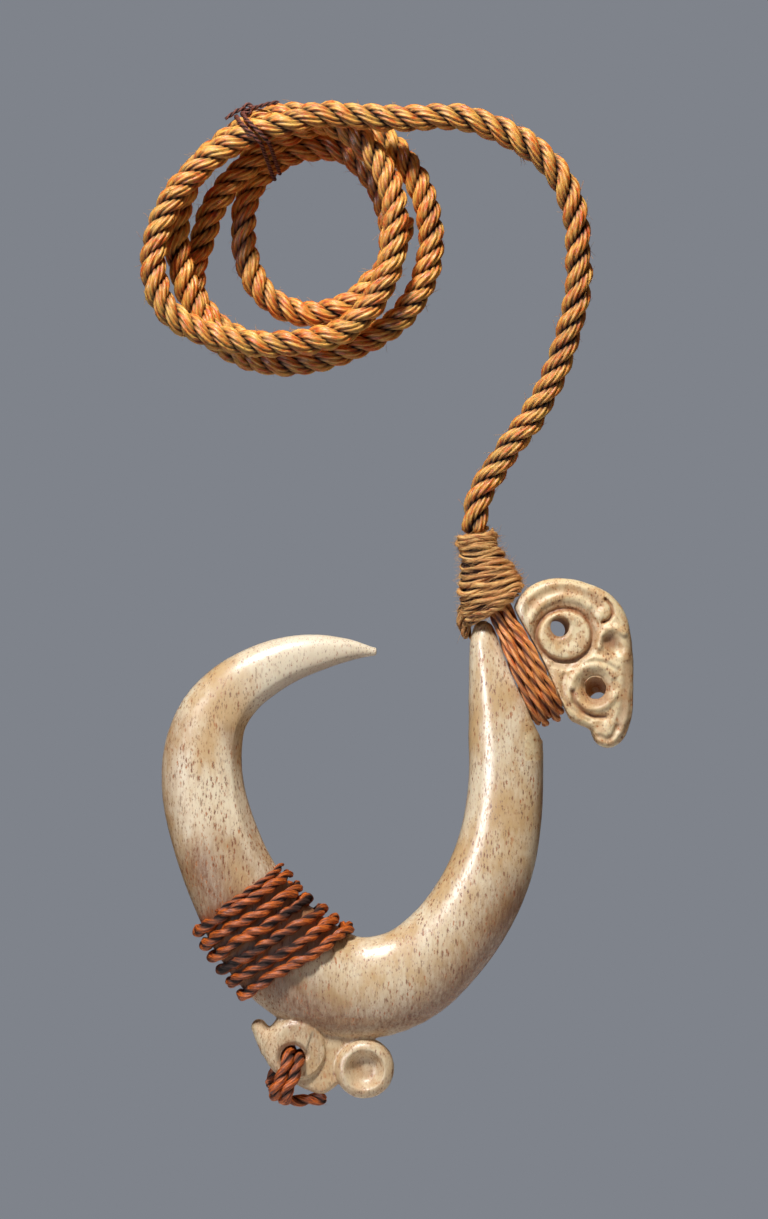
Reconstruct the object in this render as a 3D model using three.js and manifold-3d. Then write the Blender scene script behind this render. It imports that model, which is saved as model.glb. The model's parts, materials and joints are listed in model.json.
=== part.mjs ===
// A carved bone circle hook on its snood and coiled rope.
// Millimetres, +Z up, +X to the right and +Y away from whoever faces the hook.
// The origin is under the top of the coil's inmost turn, where the coil hangs.
import * as THREE from "three";
import { mergeVertices } from "three/addons/utils/BufferGeometryUtils.js";
import Module from "manifold-3d";

const wasm = await Module();
wasm.setup();

// Running gap between pieces that lie against each other, and least gap of a cord to itself.
const seatGap = 0.3;
const windGap = 0.45;

// Rope: three strands, drawn here as its round envelope.
const ropeDiameter = 9.2;
const ropeSides = 10;

// Coil: the reach of the rope's middle line from the coil's middle at each clock hour,
// and the lane from front to back that it lies in. The first hour is at coilStartAngle.
const coilMiddle = [-8, -26];
const coilStartAngle = 60;
const coilHourAngle = 30;
const coilFrontDepth = -14;
const coilReach = [
  [45, 36.5, 35, 37, 42.5, 46.5, 40, 36, 37, 36, 36, 38.5],
  [40.5, 40.5, 37.5, 37.5, 36.5, 37.5, 41.5, 42, 42.5, 47, 48, 47],
  [45, 35.5, 28, 27, 28.5, 36, 37, 36, 36, 35.5, 35, 35.5],
  [35.5, 29.5, 23, 17, 15, 15.5, 18.5, 23, 27.5, 31.5, 36.5],
];
const coilLane = [
  [0, 0, 0, 0, 0, 0, 0, 0, 0, 0, 0.1, 0.45],
  [1, 1, 1, 1, 1, 1, 1, 1, 1, 1, 1.05, 1.4],
  [2, 2, 2, 2, 2, 2, 2, 2, 2, 2, 2.1, 2.4],
  [2.7, 2.85, 2.95, 2.9, 2.8, 2.75, 2.75, 2.8, 2.9, 3, 3.15],
];
const loopSteps = 24;
const loopSides = 6;

// Free stretch of the rope, from the whipping up to the coil.
const freeRoute = [
  [58, -0.3, -108],
  [62.3, -1, -101],
  [67, -2, -94.2],
  [73.2, -3.2, -86.3],
  [77.3, -4.3, -79.3],
  [83.3, -6.2, -64.7],
  [87.9, -8.6, -48],
  [88.7, -10, -34],
  [87.6, -11.4, -20],
  [83.5, -12.4, -8.7],
  [76.5, -13, -0.3],
  [66, -13.6, 6.7],
  [55, -14, 11.3],
  [44, -14, 13],
];

// Twine that binds the coil at the upper left.
const tieDiameter = 1.6;
const tieAngle = 110;
const tieTurns = 2.1;
const tiePitch = 2.3;
const tieKnotDiameter = 3.6;
const tieClearance = 1.3;

// Hook: the middle of the bone, its width in the plane of the hook and its depth front to back,
// from the point, round the bend, up the shank to the shank's tip.
const hookStations = [
  { x: 21.8, z: -163.9, width: 1.6, depth: 2 },
  { x: 13, z: -163.3, width: 7.2, depth: 6.5 },
  { x: 3.4, z: -164, width: 11.8, depth: 9.5 },
  { x: -6, z: -166, width: 15, depth: 12 },
  { x: -14.5, z: -169.4, width: 17.4, depth: 14 },
  { x: -24.6, z: -175.8, width: 20, depth: 15.5 },
  { x: -32.4, z: -185, width: 23, depth: 16.5 },
  { x: -36, z: -197, width: 26, depth: 17 },
  { x: -35.8, z: -211, width: 27.6, depth: 17.5 },
  { x: -31.6, z: -227, width: 28.8, depth: 18.5 },
  { x: -25.6, z: -241.5, width: 30.5, depth: 19.5 },
  { x: -16.4, z: -256.5, width: 34, depth: 20 },
  { x: -3, z: -269.5, width: 36.5, depth: 20 },
  { x: 14, z: -276, width: 34.5, depth: 20 },
  { x: 31, z: -272.6, width: 32.5, depth: 20 },
  { x: 44.2, z: -262, width: 30, depth: 20 },
  { x: 54, z: -248.8, width: 28.7, depth: 19.5 },
  { x: 60.4, z: -235, width: 27.5, depth: 19 },
  { x: 63.6, z: -221.5, width: 26, depth: 18.5 },
  { x: 65, z: -205, width: 24.8, depth: 18 },
  { x: 64.4, z: -190, width: 24.2, depth: 17.5 },
  { x: 61.6, z: -178, width: 18.8, depth: 16 },
  { x: 59, z: -167.5, width: 13, depth: 13 },
  { x: 57.7, z: -159.5, width: 9.4, depth: 10 },
  { x: 57.4, z: -154.9, width: 5.6, depth: 6 },
  { x: 57.4, z: -153.5, width: 2, depth: 2.4 },
];
const boneSquareness = 2.3;
const boneSides = 20;
const stepsPerStation = 2;

// Neck: the round waist that the snood goes round. Along it lies the swing axis.
const neckMiddle = [76.4, -179.1];
const neckTilt = 24.7;
const neckRadius = 5.5;
const grooveWidth = 11.2;
const grooveTopWidth = 8.8;
const grooveNarrowsFrom = 12;
const grooveNarrowsTo = 27;
const grooveTop = 44;
const grooveFoot = 13;
const neckRoot = 2.5;

// Carved head.
const headDepth = 14;
const headBevel = 3;
const headOutline = [
  [67.6, -150.4], [70.6, -144.2], [76.5, -140.4], [83, -139.4], [91, -140.8], [99.3, -144.7],
  [104.4, -151], [106.8, -162], [107, -176], [106.6, -185.5], [103.4, -192.8], [98.4, -195.6],
  [95, -193.3], [90.5, -189.2], [84.4, -185.6], [80, -178], [77.6, -169], [73.5, -160.5],
];
const eyeHoleRadius = 3;
const upperEye = [82.4, -156.6];
const eyeRingRadius = 8.6;
const eyeRingWidth = 2.6;
const lowerEye = [94.6, -176.3];
const eyeDishRadius = 6.3;
const carvingDepth = 1.6;

// Lug below the bend: a pierced ring with a beak, and a dished ring.
const lugDepth = 13;
const lugBevel = 2.6;
const lugOutline = [
  [-7, -280], [-15.4, -287.4], [-16.4, -292], [-14.6, -300], [-10, -305.3], [-4, -307.6],
  [2, -310.9], [8.5, -309], [14, -300], [25.4, -292.5], [14, -279],
];
const beakRoot = [-11.5, -293.2];
const beakTip = [-19.2, -286.4];
const beakRootRadius = 5;
const beakTipRadius = 0.9;
const piercedRing = [-5.3, -296];
const piercedRingRadius = 10.3;
const lugEye = [-6, -298.7];
const lugEyeRadius = 4.2;
const dishedRing = [17.8, -302.6];
const dishedRingRadius = 9.7;
const dishRadius = 6;

// Bait lashing round the left leg. Its turns lie in parallel slanting planes, the first one
// through lashingStart on the leg's inner edge.
const lashingDiameter = 3.5;
const lashingPitch = 5.1;
const lashingTurns = 5.5;
const lashingSlope = 28.3;
const lashingStart = [-6.6, -237.3];
const lashingStations = [8, 15];

// Bait cord: two turns through the lug's eye and a tail.
const baitDiameter = 2.95;
const baitPitch = 3.65;
const baitTurns = 2;
const baitReach = 14;
const baitHalfDepth = 8.8;
const baitSquareness = 3.4;
const baitLean = 24.9;
const baitTail = [
  [-4.4, 0, -313.6],
  [0.4, 0, -313],
  [5, 0, -313.1],
];

// Snood: strands that hang from the core, round the neck, in two layers.
const strandCount = 5;
const strandDiameter = 2.3;
const strandPitch = 2.05;
const strandLayer = 1.7;
const strandTopPitch = 1.4;
const strandTopDepth = 2.4;
const strandTopLayer = 2.5;
const snoodHeight = 34;
const snoodShift = -1.4;
const strandRunSteps = 9;
const strandBendSteps = 12;

// Core and whipping: a cone from the rope's end to the strands.
const coreTop = [54.6, -124.6];
const coreTopTilt = -4;
const coreFootTilt = 32;
const coreTopRadius = 3.6;
const coreFootWidth = 18.8;
const coreFootDepth = 12.8;
const coreRings = 8;
const coreSides = 20;
const twineDiameter = 1.8;
const whippingTurns = 8;
const whippingTopTilt = 15;
const whippingTopInset = 2.6;
const whippingSeat = 0.45;

const degree = Math.PI / 180;
const ropeRadius = ropeDiameter / 2;
const strandRadius = strandDiameter / 2;
const twineRadius = twineDiameter / 2;
const lashingRadius = lashingDiameter / 2;
const tieRadius = tieDiameter / 2;
const cutOver = 1;

const vec = (x, y, z) => new THREE.Vector3(x, y, z);
const mix = THREE.MathUtils.lerp;
const smooth = (t) => THREE.MathUtils.smoothstep(t, 0, 1);
const squared = (v, squareness) => Math.sign(v) * Math.abs(v) ** (2 / squareness);

// Value of an evenly spaced list at t, on a smooth curve through its entries.
function through(list, t) {
  const i = Math.min(Math.floor(t), list.length - 2);
  const at = (k) => list[Math.max(0, Math.min(list.length - 1, k))];
  const [a, b, c, d] = [at(i - 1), at(i), at(i + 1), at(i + 2)];
  const f = t - i;
  const slope = (c - a) / 2;
  const nextSlope = (d - b) / 2;
  const bend = 3 * (c - b) - 2 * slope - nextSlope;
  const close = 2 * (b - c) + slope + nextSlope;
  return b + f * (slope + f * (bend + f * close));
}

// Closed solid through rings of points, each end closed by a fan, faces turned outwards.
function skin(rings) {
  const sides = rings[0].length;
  const points = rings.flat();
  const faces = [];
  for (let r = 0; r + 1 < rings.length; r++) {
    for (let s = 0; s < sides; s++) {
      const a = r * sides + s;
      const b = r * sides + ((s + 1) % sides);
      faces.push(a, b, b + sides, a, b + sides, a + sides);
    }
  }
  for (const [ring, start, flip] of [[rings[0], 0, true], [rings.at(-1), points.length - sides, false]]) {
    const middle = points.length;
    points.push(ring.reduce((sum, p) => sum.add(p), vec(0, 0, 0)).divideScalar(sides));
    for (let s = 0; s < sides; s++) {
      const a = start + s;
      const b = start + ((s + 1) % sides);
      faces.push(...(flip ? [middle, b, a] : [middle, a, b]));
    }
  }
  const volume = (k) => points[faces[k]].dot(points[faces[k + 1]].clone().cross(points[faces[k + 2]]));
  let total = 0;
  for (let k = 0; k < faces.length; k += 3) total += volume(k);
  if (total < 0) faces.reverse();
  const geometry = new THREE.BufferGeometry();
  geometry.setAttribute("position", new THREE.Float32BufferAttribute(points.flatMap((p) => p.toArray()), 3));
  geometry.setIndex(faces);
  geometry.computeVertexNormals();
  return geometry;
}

// Round tube along a list of points. The section is carried along without twist.
function windTube(route, radius, sides) {
  const directions = route.map((p, i) => {
    const before = route[Math.max(i - 1, 0)];
    const after = route[Math.min(i + 1, route.length - 1)];
    return after.clone().sub(before).normalize();
  });
  let side = vec(0, 1, 0).cross(directions[0]);
  if (side.length() < 0.2) side = vec(1, 0, 0).cross(directions[0]);
  const rings = route.map((p, i) => {
    side.addScaledVector(directions[i], -side.dot(directions[i])).normalize();
    const other = directions[i].clone().cross(side);
    return Array.from({ length: sides }, (_, k) => {
      const turn = (k / sides) * 2 * Math.PI;
      const out = side.clone().multiplyScalar(Math.cos(turn)).addScaledVector(other, Math.sin(turn));
      return p.clone().addScaledVector(out, radius);
    });
  });
  return skin(rings);
}

// Least gap of a wound tube to itself, on points of its middle line.
function gapToItself(route, diameter) {
  const curve = new THREE.CatmullRomCurve3(route);
  const points = curve.getSpacedPoints(Math.ceil(curve.getLength() / (diameter / 3)));
  const apart = 6;
  let least = Infinity;
  for (let i = 0; i < points.length; i++) {
    for (let j = i + apart; j < points.length; j++) {
      least = Math.min(least, points[i].distanceTo(points[j]));
    }
  }
  return least - diameter;
}

function solidOf(geometry) {
  const loose = geometry.index ? geometry.toNonIndexed() : geometry.clone();
  loose.deleteAttribute("normal");
  loose.deleteAttribute("uv");
  const merged = mergeVertices(loose, 1e-3);
  const triVerts = new Uint32Array(merged.index.array);
  const vertProperties = merged.attributes.position.array;
  return new wasm.Manifold(new wasm.Mesh({ numProp: 3, vertProperties, triVerts }));
}

function geometryOf(solid) {
  const mesh = solid.getMesh();
  const geometry = new THREE.BufferGeometry();
  geometry.setAttribute("position", new THREE.BufferAttribute(mesh.vertProperties, mesh.numProp));
  geometry.setIndex(new THREE.BufferAttribute(mesh.triVerts, 1));
  geometry.computeVertexNormals();
  return geometry;
}

const joined = (first, ...rest) => rest.reduce((sum, g) => sum.add(solidOf(g)), solidOf(first));
const cutFrom = (solid, ...cuts) => cuts.reduce((left, g) => left.subtract(solidOf(g)), solid);

// Plate in the plane of the hook, its middle at y = 0, with a rounded rim.
function plate(shape, depth, bevel, curveSegments) {
  const geometry = new THREE.ExtrudeGeometry(shape, {
    depth: depth - 2 * bevel,
    bevelEnabled: bevel > 0,
    bevelThickness: bevel,
    bevelSize: bevel,
    bevelOffset: -bevel,
    bevelSegments: 3,
    curveSegments,
  });
  geometry.translate(0, 0, bevel - depth / 2);
  geometry.rotateX(Math.PI / 2);
  return geometry;
}

// Closed smooth outline through a few points.
function smoothShape(outline, points) {
  const curve = new THREE.CatmullRomCurve3(outline.map(([x, z]) => vec(x, z, 0)), true, "centripetal");
  return new THREE.Shape(curve.getSpacedPoints(points).map((p) => new THREE.Vector2(p.x, p.y)));
}

// Revolved solid whose axis runs front to back through a point of the hook's plane.
function turned(profile, [x, z], segments) {
  const geometry = new THREE.LatheGeometry(profile.map(([r, y]) => new THREE.Vector2(r, y)), segments);
  geometry.translate(x, 0, z);
  return geometry;
}

function drill([x, z], radius, depth) {
  const geometry = new THREE.CylinderGeometry(radius, radius, depth + 2 * cutOver, 28);
  geometry.translate(x, 0, z);
  return geometry;
}

// The same cut on the front and on the back face of a plate.
function bothFaces(profile, place, faceY, segments) {
  const front = profile.map(([r, down]) => [r, -faceY + down]);
  const back = profile.map(([r, down]) => [r, faceY - down]).reverse();
  return [turned(front, place, segments), turned(back, place, segments)];
}

function ringGroove(place, radius, width, faceY) {
  const profile = [
    [radius - width / 2, -cutOver],
    [radius + width / 2, -cutOver],
    [radius + width / 4, carvingDepth],
    [radius - width / 4, carvingDepth],
    [radius - width / 2, -cutOver],
  ];
  return bothFaces(profile, place, faceY, 32);
}

function dish(place, radius, faceY) {
  const profile = [
    [0, -cutOver],
    [radius, -cutOver],
    [radius, 0],
    [radius * 0.7, carvingDepth],
    [0, carvingDepth * 1.4],
  ];
  return bothFaces(profile, place, faceY, 32);
}

// Frame of the neck: s runs along the neck to the head, h rises from it to the whipping.
const neckAlong = vec(Math.cos(neckTilt * degree), 0, Math.sin(neckTilt * degree));
const neckUp = vec(-Math.sin(neckTilt * degree), 0, Math.cos(neckTilt * degree));
function byNeck(s, h, y) {
  return vec(neckMiddle[0], y, neckMiddle[1]).addScaledVector(neckAlong, s).addScaledVector(neckUp, h);
}

// Middle line of the coil, at t hours from its start.
const reachList = coilReach.flat();
const laneList = coilLane.flat();
const lanePitch = ropeDiameter + windGap;
function coilPoint(t) {
  const angle = (coilStartAngle + coilHourAngle * t) * degree;
  const reach = through(reachList, t);
  const depth = coilFrontDepth + lanePitch * through(laneList, t);
  return vec(coilMiddle[0] + reach * Math.cos(angle), depth, coilMiddle[1] + reach * Math.sin(angle));
}

// The coil's route, with a straight run of one diameter at each end.
function coilRoute() {
  const hours = reachList.length - 1;
  const steps = Math.round((hours * coilHourAngle * loopSteps) / 360);
  const route = Array.from({ length: steps + 1 }, (_, i) => coilPoint((hours * i) / steps));
  const lead = route[0].clone().sub(route[1]).normalize();
  const trail = route.at(-1).clone().sub(route.at(-2)).normalize();
  route.unshift(route[0].clone().addScaledVector(lead, ropeDiameter));
  route.push(route.at(-1).clone().addScaledVector(trail, ropeDiameter));
  return route;
}

// Twine round all the turns of the coil. Each point lies on the outermost turn in its direction.
function tieRoute(route) {
  const turnsThere = [0, 1, 2, 3].map((turn) => (360 * turn + tieAngle - coilStartAngle) / coilHourAngle);
  const out = vec(Math.cos(tieAngle * degree), 0, Math.sin(tieAngle * degree));
  const along = vec(-out.z, 0, out.x);
  const hold = ropeRadius + tieRadius + tieClearance;
  const steps = Math.round(tieTurns * loopSteps);
  return Array.from({ length: steps + 1 }, (_, i) => {
    const turn = (i / loopSteps) * 2 * Math.PI;
    const shift = tiePitch * (i / loopSteps - tieTurns / 2);
    const facing = out.clone().multiplyScalar(Math.cos(turn)).addScaledVector(vec(0, 1, 0), Math.sin(turn));
    const middles = turnsThere.map((t) => {
      const p = coilPoint(t);
      const ahead = coilPoint(t + 0.1).sub(p);
      return p.addScaledVector(ahead, shift / ahead.dot(along));
    });
    const outermost = middles.reduce((best, p) => (p.dot(facing) > best.dot(facing) ? p : best));
    return outermost.clone().addScaledVector(facing, hold);
  });
}

// The rope's free stretch, end to end with the core below and the coil above.
function freeCurve(route) {
  const lead = route[0].clone().sub(route[1]).normalize();
  const rise = upAt(coreTopTilt);
  const start = vec(coreTop[0], 0, coreTop[1]).addScaledVector(rise, seatGap);
  const end = route[0].clone().addScaledVector(lead, seatGap);
  return new THREE.CatmullRomCurve3([
    start,
    start.clone().addScaledVector(rise, ropeDiameter),
    ...freeRoute.map((p) => vec(...p)),
    end.clone().addScaledVector(lead, ropeDiameter),
    end,
  ], false, "centripetal");
}

// Cone of the core: middle, upward direction and half sizes at t, from its top 0 to its foot 1.
const coreFoot = byNeck(snoodShift, snoodHeight, 0);
const coreHead = vec(coreTop[0], 0, coreTop[1]);
const coreLength = coreHead.distanceTo(coreFoot);
const upAt = (tilt) => vec(-Math.sin(tilt * degree), 0, Math.cos(tilt * degree));
function corePoint(t, turn, topTilt, offset) {
  const up = upAt(mix(topTilt, coreFootTilt, t));
  const wide = mix(coreTopRadius, coreFootWidth / 2, smooth(t)) + offset;
  const deep = mix(coreTopRadius, coreFootDepth / 2, smooth(t)) + offset;
  const middle = coreHead.clone().lerp(coreFoot, t);
  const across = vec(up.z, 0, -up.x);
  return middle.addScaledVector(across, wide * Math.cos(turn)).add(vec(0, deep * Math.sin(turn), 0));
}
function coreSolid() {
  const rings = Array.from({ length: coreRings + 1 }, (_, r) =>
    Array.from({ length: coreSides }, (_, s) =>
      corePoint(r / coreRings, (s / coreSides) * 2 * Math.PI, coreTopTilt, 0),
    ),
  );
  return skin(rings);
}
function whippingRoute() {
  const steps = whippingTurns * loopSteps;
  const first = whippingTopInset / coreLength;
  const last = 1 - (twineRadius + whippingSeat) / coreLength;
  return Array.from({ length: steps + 1 }, (_, i) => {
    const turn = (i / loopSteps) * 2 * Math.PI;
    return corePoint(mix(first, last, i / steps), turn, whippingTopTilt, twineRadius + whippingSeat);
  });
}

// One strand: down the front of the neck, round under it and up the back.
function strandRoute(index) {
  const place = index - (strandCount - 1) / 2;
  const layer = index % 2;
  const radius = neckRadius + seatGap + strandRadius + layer * strandLayer;
  const topDepth = strandTopDepth + layer * strandTopLayer;
  const footSlope = Math.tan((coreFootTilt - neckTilt) * degree);
  const top = snoodHeight - seatGap + footSlope * (place * strandTopPitch - snoodShift);
  const side = (f, sign) => {
    const h = top * (1 - f);
    const spread = smooth(Math.max(0, (f * top - strandDiameter) / (top - strandDiameter)) * 1.3);
    return byNeck(
      place * mix(strandTopPitch, strandPitch, spread),
      h,
      sign * mix(topDepth, radius, spread),
    );
  };
  const first = strandDiameter / top;
  const stops = [0, first];
  for (let i = 1; i <= strandRunSteps; i++) stops.push(mix(first, 1, i / strandRunSteps));
  const front = stops.map((f) => side(f, -1));
  const back = stops.map((f) => side(f, 1)).reverse();
  const bend = Array.from({ length: strandBendSteps - 1 }, (_, i) => {
    const turn = ((i + 1) / strandBendSteps) * Math.PI;
    return byNeck(place * strandPitch, -radius * Math.sin(turn), -radius * Math.cos(turn));
  });
  return [...front, ...bend, ...back];
}

// Bone: point of the surface at station t, at a turn round the section, lifted by an offset.
const boneLine = new THREE.CatmullRomCurve3(hookStations.map((s) => vec(s.x, 0, s.z)), false, "centripetal");
const boneWidths = hookStations.map((s) => s.width);
const boneDepths = hookStations.map((s) => s.depth);
function bonePoint(t, turn, offset) {
  const last = hookStations.length - 1;
  const along = boneLine.getTangent(t / last);
  const outward = vec(along.z, 0, -along.x);
  const wide = (through(boneWidths, t) / 2 + offset) * squared(Math.cos(turn), boneSquareness);
  const deep = (through(boneDepths, t) / 2 + offset) * squared(Math.sin(turn), boneSquareness);
  return boneLine.getPoint(t / last).addScaledVector(outward, wide).add(vec(0, deep, 0));
}
function boneShaft() {
  const last = (hookStations.length - 1) * stepsPerStation;
  const rings = Array.from({ length: last + 1 }, (_, r) =>
    Array.from({ length: boneSides }, (_, s) =>
      bonePoint(r / stepsPerStation, ((s + 0.5) / boneSides) * 2 * Math.PI, 0),
    ),
  );
  return skin(rings);
}

// Slot that the snood runs in: wide at the neck, narrower towards the whipping.
function grooveSlot() {
  const half = grooveWidth / 2;
  const halfTop = grooveTopWidth / 2;
  const corners = [
    [-half, -grooveFoot], [half, -grooveFoot], [half, grooveNarrowsFrom], [halfTop, grooveNarrowsTo],
    [halfTop, grooveTop], [-halfTop, grooveTop], [-halfTop, grooveNarrowsTo], [-half, grooveNarrowsFrom],
  ];
  const shape = new THREE.Shape(corners.map(([s, h]) => {
    const p = byNeck(s, h, 0);
    return new THREE.Vector2(p.x, p.z);
  }));
  return plate(shape, headDepth * 3, 0, 1);
}
function neckBar() {
  const length = grooveWidth + 2 * neckRoot;
  const bar = new THREE.CylinderGeometry(neckRadius, neckRadius, length, 28);
  bar.rotateZ(Math.PI / 2);
  bar.rotateY(-neckTilt * degree);
  bar.translate(neckMiddle[0], 0, neckMiddle[1]);
  return bar;
}
function roundedDisc(place, radius, depth, bevel) {
  const half = depth / 2;
  const profile = [
    [0, -half], [radius - bevel, -half], [radius - bevel * 0.3, -half + bevel * 0.3], [radius, -half + bevel],
    [radius, half - bevel], [radius - bevel * 0.3, half - bevel * 0.3], [radius - bevel, half], [0, half],
  ];
  return turned(profile, place, 40);
}
function beak() {
  const rise = vec(beakTip[0] - beakRoot[0], beakTip[1] - beakRoot[1], 0);
  const horn = new THREE.CylinderGeometry(beakTipRadius, beakRootRadius, rise.length(), 20);
  horn.rotateZ(Math.atan2(-rise.x, rise.y));
  horn.rotateX(Math.PI / 2);
  horn.translate((beakRoot[0] + beakTip[0]) / 2, 0, (beakRoot[1] + beakTip[1]) / 2);
  return horn;
}
function hookBody() {
  const head = plate(smoothShape(headOutline, 60), headDepth, headBevel, 1);
  const lug = plate(smoothShape(lugOutline, 40), lugDepth, lugBevel, 1);
  const rough = joined(
    boneShaft(),
    head,
    lug,
    beak(),
    roundedDisc(piercedRing, piercedRingRadius, lugDepth, lugBevel),
    roundedDisc(dishedRing, dishedRingRadius, lugDepth, lugBevel),
  );
  const grooved = cutFrom(rough, grooveSlot()).add(solidOf(neckBar()));
  return geometryOf(cutFrom(
    grooved,
    ...ringGroove(upperEye, eyeRingRadius, eyeRingWidth, headDepth / 2),
    ...dish(lowerEye, eyeDishRadius, headDepth / 2),
    ...dish(dishedRing, dishRadius, lugDepth / 2),
    drill(upperEye, eyeHoleRadius, headDepth),
    drill(lowerEye, eyeHoleRadius, headDepth),
    drill(lugEye, lugEyeRadius, lugDepth),
  ));
}

// Cord wound round the left leg: each point is where its plane meets the bone's own surface.
function lashingRoute() {
  const slope = lashingSlope * degree;
  const down = vec(Math.sin(slope), 0, -Math.cos(slope));
  const start = vec(lashingStart[0], 0, lashingStart[1]).dot(down);
  const steps = lashingTurns * loopSteps;
  return Array.from({ length: steps + 1 }, (_, i) => {
    const turn = Math.PI * (1 + (2 * i) / loopSteps);
    const plane = start + (lashingPitch * i) / loopSteps;
    let [low, high] = lashingStations;
    for (let halving = 0; halving < 24; halving++) {
      const middle = (low + high) / 2;
      if (bonePoint(middle, turn, lashingRadius + seatGap).dot(down) < plane) low = middle;
      else high = middle;
    }
    return bonePoint(low, turn, lashingRadius + seatGap);
  });
}

// Cord through the lug's eye: loops that hang below the ring, then the tail.
const baitDown = vec(-Math.sin(baitLean * degree), 0, -Math.cos(baitLean * degree));
const baitAcross = vec(-baitDown.z, 0, baitDown.x);
function baitRoute() {
  const middle = vec(lugEye[0], 0, lugEye[1]).addScaledVector(baitDown, baitReach / 2);
  const steps = baitTurns * loopSteps;
  const loops = Array.from({ length: steps + 1 }, (_, i) => {
    const turn = (i / loopSteps) * 2 * Math.PI;
    return middle.clone()
      .addScaledVector(baitDown, (baitReach / 2) * squared(Math.cos(turn), baitSquareness))
      .addScaledVector(baitAcross, baitPitch * (i / loopSteps - baitTurns / 2))
      .add(vec(0, baitHalfDepth * squared(Math.sin(turn), baitSquareness), 0));
  });
  return [...loops, ...baitTail.map((p) => vec(...p))];
}

const finishes = {
  rope: new THREE.MeshStandardMaterial({ color: 0xb97434, roughness: 0.85, metalness: 0 }),
  tie: new THREE.MeshStandardMaterial({ color: 0x5a322d, roughness: 0.85, metalness: 0 }),
  twine: new THREE.MeshStandardMaterial({ color: 0xaf875f, roughness: 0.9, metalness: 0 }),
  strand: new THREE.MeshStandardMaterial({ color: 0xb06a30, roughness: 0.75, metalness: 0 }),
  cord: new THREE.MeshStandardMaterial({ color: 0x965528, roughness: 0.8, metalness: 0 }),
  bone: new THREE.MeshStandardMaterial({ color: 0xe6d8b4, roughness: 0.35, metalness: 0 }),
};

const hook = new THREE.Group();
function addPiece(name, geometry, material) {
  const mesh = new THREE.Mesh(geometry, material);
  mesh.name = name;
  hook.add(mesh);
}
function addWinding(name, route, diameter, material, ...more) {
  console.log(name + ": least gap to itself " + gapToItself(route, diameter).toFixed(2) + " mm");
  const tube = windTube(route, diameter / 2, loopSides);
  addPiece(name, more.length ? geometryOf(joined(tube, ...more)) : tube, material);
}

const coil = coilRoute();
const free = freeCurve(coil);
const section = new THREE.Shape(Array.from({ length: ropeSides }, (_, k) => {
  const turn = (k / ropeSides) * 2 * Math.PI;
  return new THREE.Vector2(ropeRadius * Math.cos(turn), ropeRadius * Math.sin(turn));
}));
const freeSteps = Math.round(free.getLength() / (2 * ropeDiameter));
const freeGeometry = new THREE.ExtrudeGeometry(section, { steps: freeSteps, extrudePath: free });
console.log("rope: free stretch " + free.getLength().toFixed(0) + " mm, coil "
  + new THREE.CatmullRomCurve3(coil).getLength().toFixed(0) + " mm");

addWinding("rope_coil", coil, ropeDiameter, finishes.rope);
addPiece("rope_free_stretch", freeGeometry, finishes.rope);
const tie = tieRoute(coil);
const knot = new THREE.SphereGeometry(tieKnotDiameter / 2, 12, 8);
knot.translate(...tie[0].toArray());
addWinding("coil_tie", tie, tieDiameter, finishes.tie, knot);
addPiece("snood_core", coreSolid(), finishes.strand);
addWinding("whipping", whippingRoute(), twineDiameter, finishes.twine);
for (let i = 0; i < strandCount; i++) {
  addWinding("snood_strand_" + (i + 1), strandRoute(i), strandDiameter, finishes.strand);
}
addPiece("hook_body", hookBody(), finishes.bone);
addWinding("bait_lashing", lashingRoute(), lashingDiameter, finishes.cord);
addWinding("bait_cord", baitRoute(), baitDiameter, finishes.cord);

export default hook;
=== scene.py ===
# %% [markdown]
# # A carved bone circle hook on its snood and coiled rope
#
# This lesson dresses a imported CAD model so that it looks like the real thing. The hook is one piece
# of polished bone. It hangs from twisted strands, a whipping of flax twine and a coiled rope.
# The CAD solids say where everything is; here they get bone, fibre and twist.

# %% Load the frame
import json
import math

import bpy
import bmesh
import numpy as np
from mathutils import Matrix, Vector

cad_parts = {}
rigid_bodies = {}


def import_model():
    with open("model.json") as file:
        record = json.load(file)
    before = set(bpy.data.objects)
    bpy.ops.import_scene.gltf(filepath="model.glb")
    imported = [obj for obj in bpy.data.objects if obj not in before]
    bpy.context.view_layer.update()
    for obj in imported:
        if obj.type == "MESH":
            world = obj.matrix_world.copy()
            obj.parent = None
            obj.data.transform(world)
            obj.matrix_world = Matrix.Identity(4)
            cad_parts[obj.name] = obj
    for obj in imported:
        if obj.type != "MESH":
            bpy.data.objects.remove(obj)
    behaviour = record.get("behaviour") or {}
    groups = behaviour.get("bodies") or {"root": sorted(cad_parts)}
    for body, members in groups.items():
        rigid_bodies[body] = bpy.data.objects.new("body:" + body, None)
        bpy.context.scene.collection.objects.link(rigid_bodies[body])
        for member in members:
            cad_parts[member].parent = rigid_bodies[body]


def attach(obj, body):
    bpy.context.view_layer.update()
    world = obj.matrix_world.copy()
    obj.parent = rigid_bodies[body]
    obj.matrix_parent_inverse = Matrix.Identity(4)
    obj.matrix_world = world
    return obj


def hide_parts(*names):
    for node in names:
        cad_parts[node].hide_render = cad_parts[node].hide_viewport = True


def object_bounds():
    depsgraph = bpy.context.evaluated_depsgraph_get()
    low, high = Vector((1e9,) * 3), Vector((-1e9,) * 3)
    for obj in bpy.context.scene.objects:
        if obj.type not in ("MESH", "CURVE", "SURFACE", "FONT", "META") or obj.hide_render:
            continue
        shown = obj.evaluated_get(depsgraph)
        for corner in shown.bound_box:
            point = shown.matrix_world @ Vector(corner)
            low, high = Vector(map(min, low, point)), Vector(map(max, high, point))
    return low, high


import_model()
cad_low, cad_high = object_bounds()
MM = 0.001
print("CAD box, mm:", [round(v / MM, 1) for v in (*cad_low, *cad_high)])

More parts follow.
